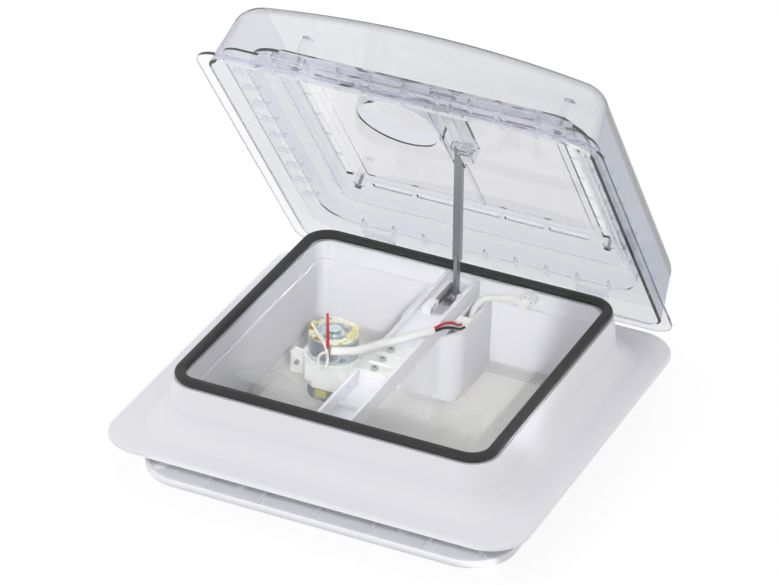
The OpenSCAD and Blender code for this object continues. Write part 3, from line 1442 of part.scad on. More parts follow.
outer_frame();
neck_gasket();
inner_frame();
frame_screws();
screen_rim();
insect_screen();
crossbar();
crossbar_screws();
control_well();
control_panel();
switch_body();
switch_rocker();
hinge_pins();
arm_pivot_pin();
gear_cover();
motor_bracket();
bracket_screws();
motor_strap();
strap_screws();
motor_can();
motor_magnets();
motor_end_ring();
motor_suppressors();
motor_terminals();
fan_shaft();
motor_rotor();
fan_wheel();
fan_nut();
lid_dome();
lid_pane();
lid_track();
lid_posts();
lid_screws();
lid_hinges();
lift_arm();
arm_gear();
arm_tip_pin();
rail_shoe();
worm();
worm_shaft();
worm_bevel();
crank_bevel();
crank_shaft();
crank_knob();
lead_sleeve();
wire_red();
wire_black();
motor_wire_red();
motor_wire_white();
lead_plug();
control_lead();
control_connector();
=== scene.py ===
import json
import math

import bmesh
import bpy
from bpy.props import FloatProperty, FloatVectorProperty, PointerProperty, StringProperty
from mathutils import Matrix, Vector


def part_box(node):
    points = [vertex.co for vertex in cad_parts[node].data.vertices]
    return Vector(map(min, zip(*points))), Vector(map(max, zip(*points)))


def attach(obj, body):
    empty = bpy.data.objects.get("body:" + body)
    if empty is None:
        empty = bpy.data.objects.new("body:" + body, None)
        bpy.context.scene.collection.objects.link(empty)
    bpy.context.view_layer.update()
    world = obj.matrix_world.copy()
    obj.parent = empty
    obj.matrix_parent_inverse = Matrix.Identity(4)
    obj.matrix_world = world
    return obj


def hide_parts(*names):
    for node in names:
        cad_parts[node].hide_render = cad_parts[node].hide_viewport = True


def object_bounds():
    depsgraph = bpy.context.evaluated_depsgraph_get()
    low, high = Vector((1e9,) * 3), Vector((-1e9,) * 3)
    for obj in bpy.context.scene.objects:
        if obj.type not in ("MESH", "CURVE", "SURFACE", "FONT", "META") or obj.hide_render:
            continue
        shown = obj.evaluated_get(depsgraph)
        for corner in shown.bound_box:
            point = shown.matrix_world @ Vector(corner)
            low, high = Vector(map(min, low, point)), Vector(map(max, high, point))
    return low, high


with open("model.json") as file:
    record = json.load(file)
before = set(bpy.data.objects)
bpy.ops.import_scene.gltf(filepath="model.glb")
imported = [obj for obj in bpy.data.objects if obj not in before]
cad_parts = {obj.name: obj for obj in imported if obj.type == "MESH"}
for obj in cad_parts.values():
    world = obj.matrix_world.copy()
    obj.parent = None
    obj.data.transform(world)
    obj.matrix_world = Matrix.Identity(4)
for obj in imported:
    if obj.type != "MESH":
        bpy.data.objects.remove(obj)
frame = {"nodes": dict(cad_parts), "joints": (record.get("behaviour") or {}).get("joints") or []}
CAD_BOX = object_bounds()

bl_info = {
    "name": "Caravan roof vent",
    "version": (1, 0, 0),
    "blender": (4, 5, 0),
    "location": "View3D > Sidebar > Roof vent",
    "description": "Finishes, wires, screen and clear lid of a caravan roof vent",
    "category": "Object",
}

MM = 0.001
NODES = frame["nodes"]
JOINTS = {joint["name"]: joint for joint in frame["joints"]}


# Settings

class VentCamera(bpy.types.PropertyGroup):
    azimuth: FloatProperty(name="Azimuth", description="Turn of the camera round the vent", subtype="ANGLE",
                           default=math.radians(23.4896))
    elevation: FloatProperty(name="Elevation", description="Height of the camera", subtype="ANGLE",
                             default=math.radians(30.0678))
    roll: FloatProperty(name="Roll", description="Tilt of the camera about its own axis", subtype="ANGLE",
                        default=math.radians(2.2099))
    lens: FloatProperty(name="Lens", description="Focal length on a 36 mm sensor", default=191.76)
    place: FloatVectorProperty(name="Place", description="Where the camera stands", subtype="TRANSLATION",
                               unit="LENGTH", default=(1.16691, -2.70347, 1.80045))


class VentLight(bpy.types.PropertyGroup):
    sky: FloatProperty(name="Sky", description="Strength of the even light from all round", default=0.86)
    key: FloatProperty(name="Key lamp", description="Power of the large soft lamp", unit="POWER", default=12)
    inner: FloatProperty(name="Inner beam", description="Power of the beam into the opening", unit="POWER",
                         default=0.062)
    lip: FloatProperty(name="Lip beam", description="Power of the beam along the ceiling frame's lip",
                       unit="POWER", default=0.0068)


class VentSizes(bpy.types.PropertyGroup):
    mesh_pitch: FloatProperty(name="Mesh pitch", description="Spacing of the screen's wires", unit="LENGTH",
                              default=1.7 * MM)
    mesh_wire: FloatProperty(name="Mesh wire", description="Thickness of a screen wire", unit="LENGTH",
                             default=0.42 * MM)
    sleeve_width: FloatProperty(name="Sleeve", description="Diameter of the sleeve over the motor's leads",
                                unit="LENGTH", default=7.2 * MM)
    lead_width: FloatProperty(name="Lead", description="Diameter of the control lead", unit="LENGTH",
                              default=5.6 * MM)
    motor_wire: FloatProperty(name="Motor wire", description="Diameter of the motor's own wires",
                              unit="LENGTH", default=2.4 * MM)
    wire_width: FloatProperty(name="Wire", description="Diameter of a wire to the plug", unit="LENGTH",
                              default=2.4 * MM)
    lid_open: FloatProperty(name="Lid angle", description="Angle of the lid at rest", subtype="ANGLE",
                            default=math.radians(52.5))
    lid_width: FloatProperty(name="Lid width", description="Width of the lid", unit="LENGTH",
                             default=355 * MM)
    lid_back: FloatProperty(name="Lid back", description="Hinge edge from the vent's centre", unit="LENGTH",
                            default=184 * MM)
    rim_height: FloatProperty(name="Rim height", description="Height of the closed lid's brim", unit="LENGTH",
                              default=26 * MM)
    brim: FloatProperty(name="Brim", description="Width of the lid's brim", unit="LENGTH", default=9 * MM)
    brim_thick: FloatProperty(name="Brim thickness", description="Thickness of the brim", unit="LENGTH",
                              default=2.5 * MM)
    dome_height: FloatProperty(name="Dome height", description="Height of the dome's shoulder", unit="LENGTH",
                               default=60 * MM)
    dome_crown: FloatProperty(name="Dome crown", description="Rise of the dome's top", unit="LENGTH",
                              default=13.7 * MM)
    dome_draft: FloatProperty(name="Dome draft", description="Inward slope of the dome's sides",
                              unit="LENGTH", default=8 * MM)
    dome_edge: FloatProperty(name="Dome edge", description="Radius of the dome's shoulder", unit="LENGTH",
                             default=20 * MM)
    dome_corner: FloatProperty(name="Dome corner", description="Corner radius of the lid", unit="LENGTH",
                               default=24 * MM)
    dome_wall: FloatProperty(name="Dome wall", description="Wall thickness of the dome", unit="LENGTH",
                             default=2.5 * MM)


class VentColours(bpy.types.PropertyGroup):
    white: StringProperty(name="White", description="White ABS of the frames, as sRGB hex", default="E9E9EE")
    nylon: StringProperty(name="Nylon", description="White nylon of the bracket, as sRGB hex",
                          default="E5E6E4")
    clear: StringProperty(name="Clear", description="Clear acrylic, as sRGB hex", default="FCFCFD")
    rubber: StringProperty(name="Rubber", description="Gasket rubber, as sRGB hex", default="2B2B2C")
    arm: StringProperty(name="Arm", description="Lift arm steel, as sRGB hex", default="BCBEC2")
    zinc: StringProperty(name="Zinc", description="Motor can zinc, as sRGB hex", default="E4ECEE")
    steel: StringProperty(name="Steel", description="Plated steel, as sRGB hex", default="A8A9AC")
    screw: StringProperty(name="Screw", description="Bracket screws, as sRGB hex", default="C6C7CA")
    mesh: StringProperty(name="Mesh", description="Screen wires, as sRGB hex", default="E2E2DE")
    sleeve: StringProperty(name="Sleeve", description="Sleeve and lead PVC, as sRGB hex", default="DEDEDC")
    red: StringProperty(name="Red wire", description="Red wire PVC, as sRGB hex", default="C0202B")
    black: StringProperty(name="Black wire", description="Black wire PVC, as sRGB hex", default="1C1C1E")


def sizes():
    return bpy.context.scene.vent_sizes


# Small helpers

def linear(hex_colour):
    """sRGB hex to linear RGBA."""
    values = [int(hex_colour[i:i + 2], 16) / 255 for i in (0, 2, 4)]
    return [v / 12.92 if v <= 0.04045 else ((v + 0.055) / 1.055) ** 2.4 for v in values] + [1.0]


def add_node(tree, kind, inputs=None, **settings):
    """Adds a node, sets its properties, and fills or links its inputs, given by place, name or identifier."""
    node = tree.nodes.new(kind)
    for name, value in settings.items():
        setattr(node, name, value)
    known = {socket.identifier: socket for socket in node.inputs}
    for name, value in (inputs or {}).items():
        socket = known[name] if name in known else node.inputs[name]
        if isinstance(value, bpy.types.NodeSocket):
            tree.links.new(value, socket)
        else:
            socket.default_value = value
    return node


def new_material(name):
    """An empty node material with its output node."""
    material = bpy.data.materials.new(name)
    material.use_nodes = True
    material.node_tree.nodes.clear()
    output = add_node(material.node_tree, "ShaderNodeOutputMaterial")
    return material, material.node_tree, output


def dress(material, *names):
    """Puts a material on CAD nodes."""
    for name in names:
        mesh = NODES[name].data
        mesh.materials.clear()
        mesh.materials.append(material)


def new_object(name, data):
    """An object with this data, put into the scene."""
    made = bpy.data.objects.new(name, data)
    bpy.context.scene.collection.objects.link(made)
    return made


def direction(turn, rise):
    """The way from the vent to a place at this turn round it and this height angle."""
    return Vector((math.sin(turn) * math.cos(rise), -math.cos(turn) * math.cos(rise), math.sin(rise)))


def placed_axes(right, up, back, place):
    """The matrix of an object with these axes at this place."""
    return Matrix.Translation(place) @ Matrix((right, up, back)).transposed().to_4x4()


def let_light_through(*pieces):
    """Clear pieces cast no shadow, because nearly all the light passes through them."""
    for piece in pieces:
        piece.visible_shadow = False


def mesh_object(name, bm, materials, body, smooth_angle=35):
    """Turns a bmesh into a finished piece that rides on a body; its faces choose among the materials."""
    bmesh.ops.recalc_face_normals(bm, faces=bm.faces)
    mesh = bpy.data.meshes.new(name)
    bm.to_mesh(mesh)
    bm.free()
    mesh.shade_smooth()
    mesh.set_sharp_from_angle(angle=math.radians(smooth_angle))
    for material in materials:
        mesh.materials.append(material)
    piece = new_object(name, mesh)
    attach(piece, body)
    return piece


# Materials

# Width of the faint clouds in a finish's tone, and of the haze on clear plastic and on thin film
CLOUD = 40 * MM
HAZE = 30 * MM
FILM_HAZE = 20 * MM
# The least and the most of its roughness that a hazy finish has
HAZE_LEAST = 0.6
HAZE_MOST = 1.4
# Painted shade in recesses: the shares of open sky at which a recess is painted wholly dark, and not dark at
# all, and the tone of that shade
RECESS_SHADE_OPEN = (0.35, 0.75)
RECESS_SHADE_HEX = "161618"
# How far a face may lean towards the lid's own up and be a whole wall, and where it stops being one
WALL_LEAN = (0.1, 0.6)
# Where the first and the last shade of a mottled finish lie in its noise
MOTTLE_START = 0.3
MOTTLE_SPAN = 0.4


def noise_material(name, hex_colour, roughness, spread, grain_mm, relief_mm, metallic=0.0, tint=0.04,
                   recess_shade_mm=0.0):
    """A solid finish with fine cloudy variation in tone and roughness and a shallow surface grain.

    With a recess depth given, shade is painted into hollows of about that depth: the less open sky a point
    sees, the darker its colour.
    """
    material, tree, output = new_material(name)
    place = add_node(tree, "ShaderNodeTexCoord").outputs["Object"]
    cloud = add_node(tree, "ShaderNodeTexNoise", {"Vector": place, "Scale": 1 / CLOUD, "Detail": 3.0})
    grain = add_node(tree, "ShaderNodeTexNoise", {"Vector": place, "Scale": 1 / (grain_mm * MM),
                                                  "Detail": 2.0})
    base = linear(hex_colour)
    darker = [c * (1 - tint) for c in base[:3]] + [1.0]
    tone = add_node(tree, "ShaderNodeMix", {"Factor_Float": cloud.outputs["Fac"], "A_Color": darker,
                                            "B_Color": base}, data_type="RGBA")
    if recess_shade_mm:
        # Painted shade: ambient occlusion darkens the colour in hollows
        recess_occlusion = add_node(tree, "ShaderNodeAmbientOcclusion", {"Distance": recess_shade_mm * MM})
        depth = add_node(tree, "ShaderNodeMapRange", {"Value": recess_occlusion.outputs["AO"],
                                                      "From Min": RECESS_SHADE_OPEN[0],
                                                      "From Max": RECESS_SHADE_OPEN[1]})
        tone = add_node(tree, "ShaderNodeMix", {"Factor_Float": depth.outputs["Result"],
                                                "A_Color": linear(RECESS_SHADE_HEX),
                                                "B_Color": tone.outputs[2]}, data_type="RGBA")
    rough = add_node(tree, "ShaderNodeMapRange", {"Value": grain.outputs["Fac"], "To Min": roughness - spread,
                                                  "To Max": roughness + spread})
    bump = add_node(tree, "ShaderNodeBump", {"Height": grain.outputs["Fac"], "Distance": relief_mm * MM,
                                             "Strength": 0.5})
    shader = add_node(tree, "ShaderNodeBsdfPrincipled", {"Base Color": tone.outputs[2],
                                                         "Roughness": rough.outputs["Result"],
                                                         "Metallic": metallic,
                                                         "Normal": bump.outputs["Normal"]})
    tree.links.new(shader.outputs["BSDF"], output.inputs["Surface"])
    return material


def mottled_material(name, shades, spot_mm, roughness):
    """A glossy finish whose tone wanders among several shades, in spots of a given size."""
    material, tree, output = new_material(name)
    place = add_node(tree, "ShaderNodeTexCoord").outputs["Object"]
    spots = add_node(tree, "ShaderNodeTexNoise", {"Vector": place, "Scale": 1 / (spot_mm * MM),
                                                  "Detail": 2.0})
    ramp = add_node(tree, "ShaderNodeValToRGB", {"Fac": spots.outputs["Fac"]})
    stops = ramp.color_ramp.elements
    stops.remove(stops[1])
    stops[0].position = MOTTLE_START
    stops[0].color = linear(shades[0])
    for i, shade in enumerate(shades[1:], start=1):
        stops.new(MOTTLE_START + MOTTLE_SPAN * i / (len(shades) - 1)).color = linear(shade)
    shader = add_node(tree, "ShaderNodeBsdfPrincipled", {"Base Color": ramp.outputs["Color"],
                                                         "Roughness": roughness})
    tree.links.new(shader.outputs["BSDF"], output.inputs["Surface"])
    return material


def hazy_roughness(tree, place, width, roughness):
    """A socket with a roughness that wanders a little, in patches of this width."""
    haze = add_node(tree, "ShaderNodeTexNoise", {"Vector": place, "Scale": 1 / width, "Detail": 2.0})
    rough = add_node(tree, "ShaderNodeMapRange", {"Value": haze.outputs["Fac"],
                                                  "To Min": roughness * HAZE_LEAST,
                                                  "To Max": roughness * HAZE_MOST})
    return rough.outputs["Result"]


def clear_material(name, face_hex, slant_shade_hex, rim, bend, clarity, roughness=0.04, outside_only=False,
                   wall_hex=None):
    """Clear moulded plastic: it lets the white ground through, and grey is painted in where it is seen edge
    on.

    That grey is partly the plastic's tint along a longer path and partly painted shade, standing in for how
    the plastic bends and reflects light edge on. It comes in between the two shares of slant in rim, and may
    be kept to faces seen from outside.
    With wall_hex, the lid's upright walls are tinted, because the eye looks along more plastic there.
    """
    material, tree, output = new_material(name)
    place = add_node(tree, "ShaderNodeTexCoord")
    # Painted shade: grey comes into the colour by the angle at which the surface is seen
    facing = add_node(tree, "ShaderNodeLayerWeight", {"Blend": 0.5})
    slant = add_node(tree, "ShaderNodeMapRange", {"Value": facing.outputs["Facing"], "From Min": rim[0],
                                                  "From Max": rim[1]})
    share = slant.outputs["Result"]
    if outside_only:
        inside = add_node(tree, "ShaderNodeNewGeometry").outputs["Backfacing"]
        outside = add_node(tree, "ShaderNodeMath", {0: 1.0, 1: inside}, operation="SUBTRACT")
        kept = add_node(tree, "ShaderNodeMath", {0: share, 1: outside.outputs[0]}, operation="MULTIPLY")
        share = kept.outputs[0]
    tone = add_node(tree, "ShaderNodeMix", {"Factor_Float": share, "A_Color": linear(face_hex),
                                            "B_Color": linear(slant_shade_hex)}, data_type="RGBA")
    if wall_hex:
        lean = add_node(tree, "ShaderNodeVectorMath", {0: place.outputs["Normal"], 1: lid_normal()},
                        operation="DOT_PRODUCT")
        flat = add_node(tree, "ShaderNodeMath", {0: lean.outputs["Value"]}, operation="ABSOLUTE")
        wall = add_node(tree, "ShaderNodeMapRange", {"Value": flat.outputs[0], "From Min": WALL_LEAN[0],
                                                     "From Max": WALL_LEAN[1], "To Min": 1.0, "To Max": 0.0})
        tone = add_node(tree, "ShaderNodeMix", {"Factor_Float": wall.outputs["Result"],
                                                "A_Color": tone.outputs[2],
                                                "B_Color": linear(wall_hex)}, data_type="RGBA")
    rough = hazy_roughness(tree, place.outputs["Object"], HAZE, roughness)
    shader = add_node(tree, "ShaderNodeBsdfPrincipled", {"Base Color": tone.outputs[2], "IOR": bend,
                                                         "Transmission Weight": clarity, "Roughness": rough})
    tree.links.new(shader.outputs["BSDF"], output.inputs["Surface"])
    return material


def film_material(name, hex_colour, cover, roughness):
    """Thin clear plastic: it covers a small share of what lies behind it with its own colour and gloss."""
    material, tree, output = new_material(name)
    place = add_node(tree, "ShaderNodeTexCoord").outputs["Object"]
    rough = hazy_roughness(tree, place, FILM_HAZE, roughness)
    shader = add_node(tree, "ShaderNodeBsdfPrincipled", {"Base Color": linear(hex_colour), "Alpha": cover,
                                                         "Roughness": rough})
    tree.links.new(shader.outputs["BSDF"], output.inputs["Surface"])
    return material


def lid_normal():
    """The way up out of the lid at its open rest pose."""
    lean = sizes().lid_open
    return Vector((0, math.sin(lean), math.cos(lean)))


MATERIALS = {}


class VENT_OT_finishes(bpy.types.Operator):
    """Make the materials and put them on the solid parts"""
    bl_idname = "vent.finishes"
    bl_label = "Finishes"

    def execute(self, context):
        colours = context.scene.vent_colours
        MATERIALS.update(self.plastics(colours))
        MATERIALS.update(self.clear_plastics(colours))
        MATERIALS.update(self.metals(colours))
        self.put_on()
        return {"FINISHED"}

    def plastics(self, c):
        return {
            # ABS out of a polished mould: even and slightly glossy, with a faint grain
            "white": noise_material("moulded white ABS", c.white, roughness=0.3, spread=0.05, grain_mm=0.6,
                                    relief_mm=0.01, tint=0.02),
            # Moulded nylon: a softer, warmer white than the frames, with a dull sheen
            "nylon": noise_material("moulded white nylon", c.nylon, roughness=0.4, spread=0.06, grain_mm=0.5,
                                    relief_mm=0.01, tint=0.03),
            # Extruded rubber: near black, matt and slightly pitted
            "rubber": noise_material("extruded black rubber", c.rubber, roughness=0.55, spread=0.1,
                                     grain_mm=0.5, relief_mm=0.04, tint=0.2),
            # Coated wire: pale and matt, so that the weave reads against the gaps
            "mesh": noise_material("coated screen wire", c.mesh, roughness=0.5, spread=0.1, grain_mm=0.5,
                                   relief_mm=0.005),
            # Moulded nylon: black with a dull sheen
            "dark": noise_material("moulded black nylon", "1B1B1D", roughness=0.45, spread=0.08, grain_mm=0.4,
                                   relief_mm=0.01),
            # Moulded nylon: light grey with a dull sheen
            "grey": noise_material("moulded grey nylon", "B9BBC0", roughness=0.42, spread=0.08, grain_mm=0.4,
                                   relief_mm=0.01),
            # Dipped resin: uneven pale yellow drops
            "resin": noise_material("dipped yellow resin", "DDD79C", roughness=0.35, spread=0.08,
                                    grain_mm=0.8, relief_mm=0.02, tint=0.15),
            # Varnished board: white with straw and brown stains round the soldered ends
            "board": mottled_material("varnished motor board", ["9A8446", "CFCB9C", "E9E9E4", "DFE1E2"],
                                      spot_mm=5, roughness=0.3),
            # Soft PVC tube: white and slightly waxy
            "sleeve": noise_material("soft white PVC", c.sleeve, roughness=0.45, spread=0.06, grain_mm=0.8,
                                     relief_mm=0.02, tint=0.03),
            # Extruded PVC: clear red with a soft sheen
            "red": noise_material("extruded red PVC", c.red, roughness=0.35, spread=0.06, grain_mm=0.6,
                                  relief_mm=0.01, tint=0.1),
            # Extruded PVC: black with a soft sheen
            "black": noise_material("extruded black PVC", c.black, roughness=0.35, spread=0.06, grain_mm=0.6,
                                    relief_mm=0.01, tint=0.1),
        }

    def clear_plastics(self, c):
        return {
            # Acrylic out of a polished mould: water clear face on, greyer where it is seen along its surface;
            # that grey is partly its tint along the longer path and partly painted shade
            "clear": clear_material("clear moulded acrylic", c.clear, "CDD0D8", rim=(0.8, 1.0), bend=1.15,
                                    clarity=0.97),
            # The pane's thick ribs and walls hold the blue violet that acrylic shows in its depth; the grey
            # where they are seen edge on is partly painted shade
            "pane": clear_material("clear acrylic pane", c.clear, "B4B8C8", rim=(0.7, 1.0), bend=1.2,
                                   clarity=0.97, wall_hex="F2F3F9"),
            # The dome's drawn sides are thinner and a little hazy; the blue grey they take where they are
            # seen slanted is partly that haze and partly painted shade
            "wall": clear_material("clear acrylic dome wall with painted slant shade", "E4E5EA", "9AA1B1", rim=(0.2, 0.75), bend=1.15,
                                   clarity=0.96, outside_only=True),
            # Painted dark line: where the dome's round shoulder turns away, the shade and dark reflection it
            # shows are painted into its colour
            "shoulder": clear_material("clear acrylic dome shoulder with painted dark line", "E4E5EA", "303238", rim=(0.32, 0.88),
                                       bend=1.15, clarity=0.96, outside_only=True),
            # A trimmed edge gathers light along the sheet and glows lavender
            "edge": clear_material("trimmed acrylic edge", "C2C2E0", "B4B4D6", rim=(0.5, 1.0), bend=1.15,
                                   clarity=0.9, roughness=0.05),
            # Thin polystyrene blades: a faint pale veil over what lies behind them
            "faint": film_material("moulded clear polystyrene", "F4F5F6", cover=0.13, roughness=0.2),
        }

    def metals(self, c):
        return {
            # Folded strip steel with a satin plating: soft grey reflections
            "arm": noise_material("satin plated steel", c.arm, roughness=0.38, spread=0.08, grain_mm=0.4,
                                  relief_mm=0.01, metallic=1.0, tint=0.1),
            # Drawn sheet steel, zinc plated: bright, with a cold cast and uneven reflections
            "zinc": noise_material("zinc plated steel", c.zinc, roughness=0.2, spread=0.08, grain_mm=0.8,
                                   relief_mm=0.005, metallic=1.0, tint=0.06),
            # Turned and plated steel: mid grey with small highlights
            "steel": noise_material("bright plated steel", c.steel, roughness=0.3, spread=0.08, grain_mm=0.4,
                                    relief_mm=0.005, metallic=1.0, tint=0.08),
            # Pressed screw heads with a pale plating: light heads, with shade painted into the cross recesses
            # so that they read as dark
            "screw": noise_material("pale plated screws with painted recess shade", c.screw, roughness=0.4, spread=0.08, grain_mm=0.4,
                                    relief_mm=0.005, metallic=0.4, tint=0.06, recess_shade_mm=1.6),
            # Stamped brass: warm yellow metal
            "brass": noise_material("stamped brass", "B8974A", roughness=0.3, spread=0.08, grain_mm=0.5,
                                    relief_mm=0.01, metallic=1.0, tint=0.1),
            # Lacquered wire: dark reddish metal
            "copper": noise_material("lacquered copper winding", "7A4A2C", roughness=0.35, spread=0.08,
                                     grain_mm=0.5, relief_mm=0.02, metallic=1.0, tint=0.15),
        }

    def put_on(self):
        made = MATERIALS
        dress(made["white"], "outer_frame", "inner_frame", "screen_rim", "crossbar", "control_well",
              "control_panel", "gear_cover")
        dress(made["nylon"], "motor_bracket", "motor_strap", "lead_plug", "control_connector")
        dress(made["rubber"], "neck_gasket")
        dress(made["mesh"], "insect_screen")
        dress(made["faint"], "fan_wheel")
        dress(made["clear"], "lid_dome", "lid_posts")
        dress(made["pane"], "lid_pane", "lid_track", "lid_hinges", "rail_shoe")
        clear_nodes = ("fan_wheel", "lid_pane", "lid_track", "lid_posts", "lid_hinges", "rail_shoe")
        let_light_through(*[NODES[name] for name in clear_nodes])
        dress(made["arm"], "lift_arm")
        dress(made["zinc"], "motor_can", "arm_gear", "worm_bevel", "crank_bevel")
        dress(made["steel"], "frame_screws", "crossbar_screws", "hinge_pins", "arm_pivot_pin",
              "fan_shaft", "fan_nut", "lid_screws", "arm_tip_pin", "worm", "worm_shaft", "crank_shaft")
        dress(made["screw"], "bracket_screws", "strap_screws")
        dress(made["dark"], "switch_body", "switch_rocker", "motor_magnets")
        dress(made["grey"], "crank_knob")
        dress(made["resin"], "motor_suppressors")
        dress(made["board"], "motor_end_ring")
        dress(made["brass"], "motor_terminals")
        dress(made["copper"], "motor_rotor")
        dress(made["sleeve"], "lead_sleeve", "motor_wire_white", "control_lead")
        dress(made["red"], "wire_red", "motor_wire_red")
        dress(made["black"], "wire_black")


# Stage

# Width of the camera's sensor in mm; the other lengths of the stage are in metres
SENSOR_WIDTH = 36
FAR_CLIP = 50
# The view passes through many clear walls one behind the other, so light is followed through this many
CLEAR_WALLS = 40
# The large lamp stands at the front left and looks at the vent
KEY_PLACE = Vector((-1.2, -1.6, 2.4))
KEY_AIM = Vector((0, 0, 0.1))
KEY_WIDTH = 1.6
# Narrow beams: the angles they come from and spread by, in degrees, and their aim, size and distance
INNER_BEAM = {"turn": 27, "rise": 31, "spread": 2.5, "aim": Vector((0, 0.01, 0.055)), "size": (0.25, 0.135),
              "distance": 0.8}
LIP_BEAM = {"turn": 30, "rise": 35, "spread": 1.5, "aim": Vector((0, -0.149, -0.037)), "size": (0.29, 0.013),
            "distance": 0.35}
# Tone of the floor, and half its width
FLOOR_HEX = "F4F4F4"
FLOOR_HALF = 6
# The floor lies a hair below the ceiling frame, so that the two faces don't share one plane
FLOOR_GAP = 0.2 * MM
# Share of the floor's tone that is plain white: under the vent within the first reach, and past the second
UNDER_REACH = 0.13
OPEN_REACH = 0.16
UNDER_SHARE = 0.68
OPEN_SHARE = 0.8
# Strength of that white. Seen through clear pieces, it falls from left to right, between two places across
FLOOR_WHITE = 1.06
CARD_WHITE = 0.9
CARD_LEFT = -0.4
CARD_RIGHT = 0.1


def seen_share(tree, rays):
    """A socket that is 1 where the eye sees a surface, also in metal and through clear pieces."""
    seen = add_node(tree, "ShaderNodeMath", {0: rays["Is Camera Ray"], 1: rays["Is Glossy Ray"]},
                    operation="MAXIMUM")
    through = add_node(tree, "ShaderNodeMath", {0: seen.outputs[0], 1: rays["Is Transmission Ray"]},
                       operation="MAXIMUM")
    return through.outputs[0]


class VENT_OT_stage(bpy.types.Operator):
    """Set up the camera, the soft light and the pale floor"""
    bl_idname = "vent.stage"
    bl_label = "Stage"

    def execute(self, context):
        light = context.scene.vent_light
        self.camera(context)
        self.world(context, light.sky)
        self.floor()
        self.key_lamp(light.key)
        self.beam("inner_fill", light.inner, **INNER_BEAM)
        self.beam("lip_fill", light.lip, **LIP_BEAM)
        context.scene.view_settings.view_transform = "Standard"
        context.scene.cycles.max_bounces = CLEAR_WALLS
        context.scene.cycles.transmission_bounces = CLEAR_WALLS
        return {"FINISHED"}

    def camera(self, context):
        settings = context.scene.vent_camera
        turn = settings.azimuth
        back = direction(turn, settings.elevation)
        level = Vector((math.cos(turn), math.sin(turn), 0))
        upright = back.cross(level)
        right = level * math.cos(settings.roll) + upright * math.sin(settings.roll)
        data = bpy.data.cameras.new("photo camera")
        data.sensor_width = SENSOR_WIDTH
        data.lens = settings.lens
        data.clip_end = FAR_CLIP
        camera = new_object("photo_camera", data)
        camera.matrix_world = placed_axes(right, back.cross(right), back, Vector(settings.place))
        context.scene.camera = camera

    def world(self, context, sky):
        """Even light from all round, which the eye sees as white."""
        world = bpy.data.worlds.new("soft studio")
        world.use_nodes = True
        tree = world.node_tree
        tree.nodes.clear()
        seen = seen_share(tree, add_node(tree, "ShaderNodeLightPath").outputs)
        strength = add_node(tree, "ShaderNodeMapRange", {"Value": seen, "To Min": sky, "To Max": 1.0})
        light = add_node(tree, "ShaderNodeBackground", {"Color": (1, 1, 1, 1),
                                                        "Strength": strength.outputs["Result"]})
        add_node(tree, "ShaderNodeOutputWorld", {"Surface": light.outputs["Background"]})
        context.scene.world = world

    def floor(self):
        bm = bmesh.new()
        level = CAD_BOX[0][2] - FLOOR_GAP
        corners = ((-1, -1), (1, -1), (1, 1), (-1, 1))
        bm.faces.new([bm.verts.new((x * FLOOR_HALF, y * FLOOR_HALF, level)) for x, y in corners])
        mesh = bpy.data.meshes.new("studio_floor")
        bm.to_mesh(mesh)
        bm.free()
        mesh.materials.append(self.floor_material())
        new_object("studio_floor", mesh)

    def floor_material(self):
        """A matt floor that mostly reads as white, keeps the vent's shadow, and hides nothing from below."""
        material, tree, output = new_material("pale studio floor")
        rays = add_node(tree, "ShaderNodeLightPath").outputs
        seen = seen_share(tree, rays)
        matt = add_node(tree, "ShaderNodeBsdfDiffuse", {"Color": linear(FLOOR_HEX)})
        place = add_node(tree, "ShaderNodeTexCoord")
        across = add_node(tree, "ShaderNodeSeparateXYZ", {"Vector": place.outputs["Object"]}).outputs
        aside = add_node(tree, "ShaderNodeMath", {0: across["X"]}, operation="ABSOLUTE")
        along = add_node(tree, "ShaderNodeMath", {0: across["Y"]}, operation="ABSOLUTE")
        reach = add_node(tree, "ShaderNodeMath", {0: aside.outputs[0], 1: along.outputs[0]},
                         operation="MAXIMUM")
        white = add_node(tree, "ShaderNodeMapRange", {"Value": reach.outputs[0], "From Min": UNDER_REACH,
                                                      "From Max": OPEN_REACH, "To Min": UNDER_SHARE,
                                                      "To Max": OPEN_SHARE})
        share = add_node(tree, "ShaderNodeMath", {0: seen, 1: white.outputs["Result"]}, operation="MULTIPLY")
        card = add_node(tree, "ShaderNodeMapRange", {"Value": across["X"], "From Min": CARD_LEFT,
                                                     "From Max": CARD_RIGHT, "To Min": FLOOR_WHITE,
                                                     "To Max": CARD_WHITE})
        power = add_node(tree, "ShaderNodeMix", {"Factor_Float": rays["Is Transmission Ray"],
                                                 "A_Float": FLOOR_WHITE, "B_Float": card.outputs["Result"]})
        glow = add_node(tree, "ShaderNodeEmission", {"Color": (1, 1, 1, 1), "Strength": power.outputs[0]})
        top = add_node(tree, "ShaderNodeMixShader", {0: share.outputs[0], 1: matt.outputs["BSDF"],
                                                     2: glow.outputs["Emission"]})
        # Looked at from below, the floor steps aside, so that the vent's underside shows
        side = add_node(tree, "ShaderNodeNewGeometry")
        below = add_node(tree, "ShaderNodeMath", {0: rays["Is Camera Ray"], 1: side.outputs["Backfacing"]},
                         operation="MULTIPLY")
        gone = add_node(tree, "ShaderNodeBsdfTransparent")
        whole = add_node(tree, "ShaderNodeMixShader", {0: below.outputs[0], 1: top.outputs["Shader"],
                                                       2: gone.outputs["BSDF"]})
        tree.links.new(whole.outputs["Shader"], output.inputs["Surface"])
        return material

    def key_lamp(self, power):
        data = bpy.data.lights.new("key", "AREA")
        data.energy = power
        data.size = KEY_WIDTH
        lamp = new_object("key", data)
        lamp.location = KEY_PLACE
        lamp.rotation_euler = (KEY_AIM - KEY_PLACE).to_track_quat("-Z", "Y").to_euler()
        lamp.visible_camera = False
        lamp.visible_glossy = False
        lamp.visible_transmission = False

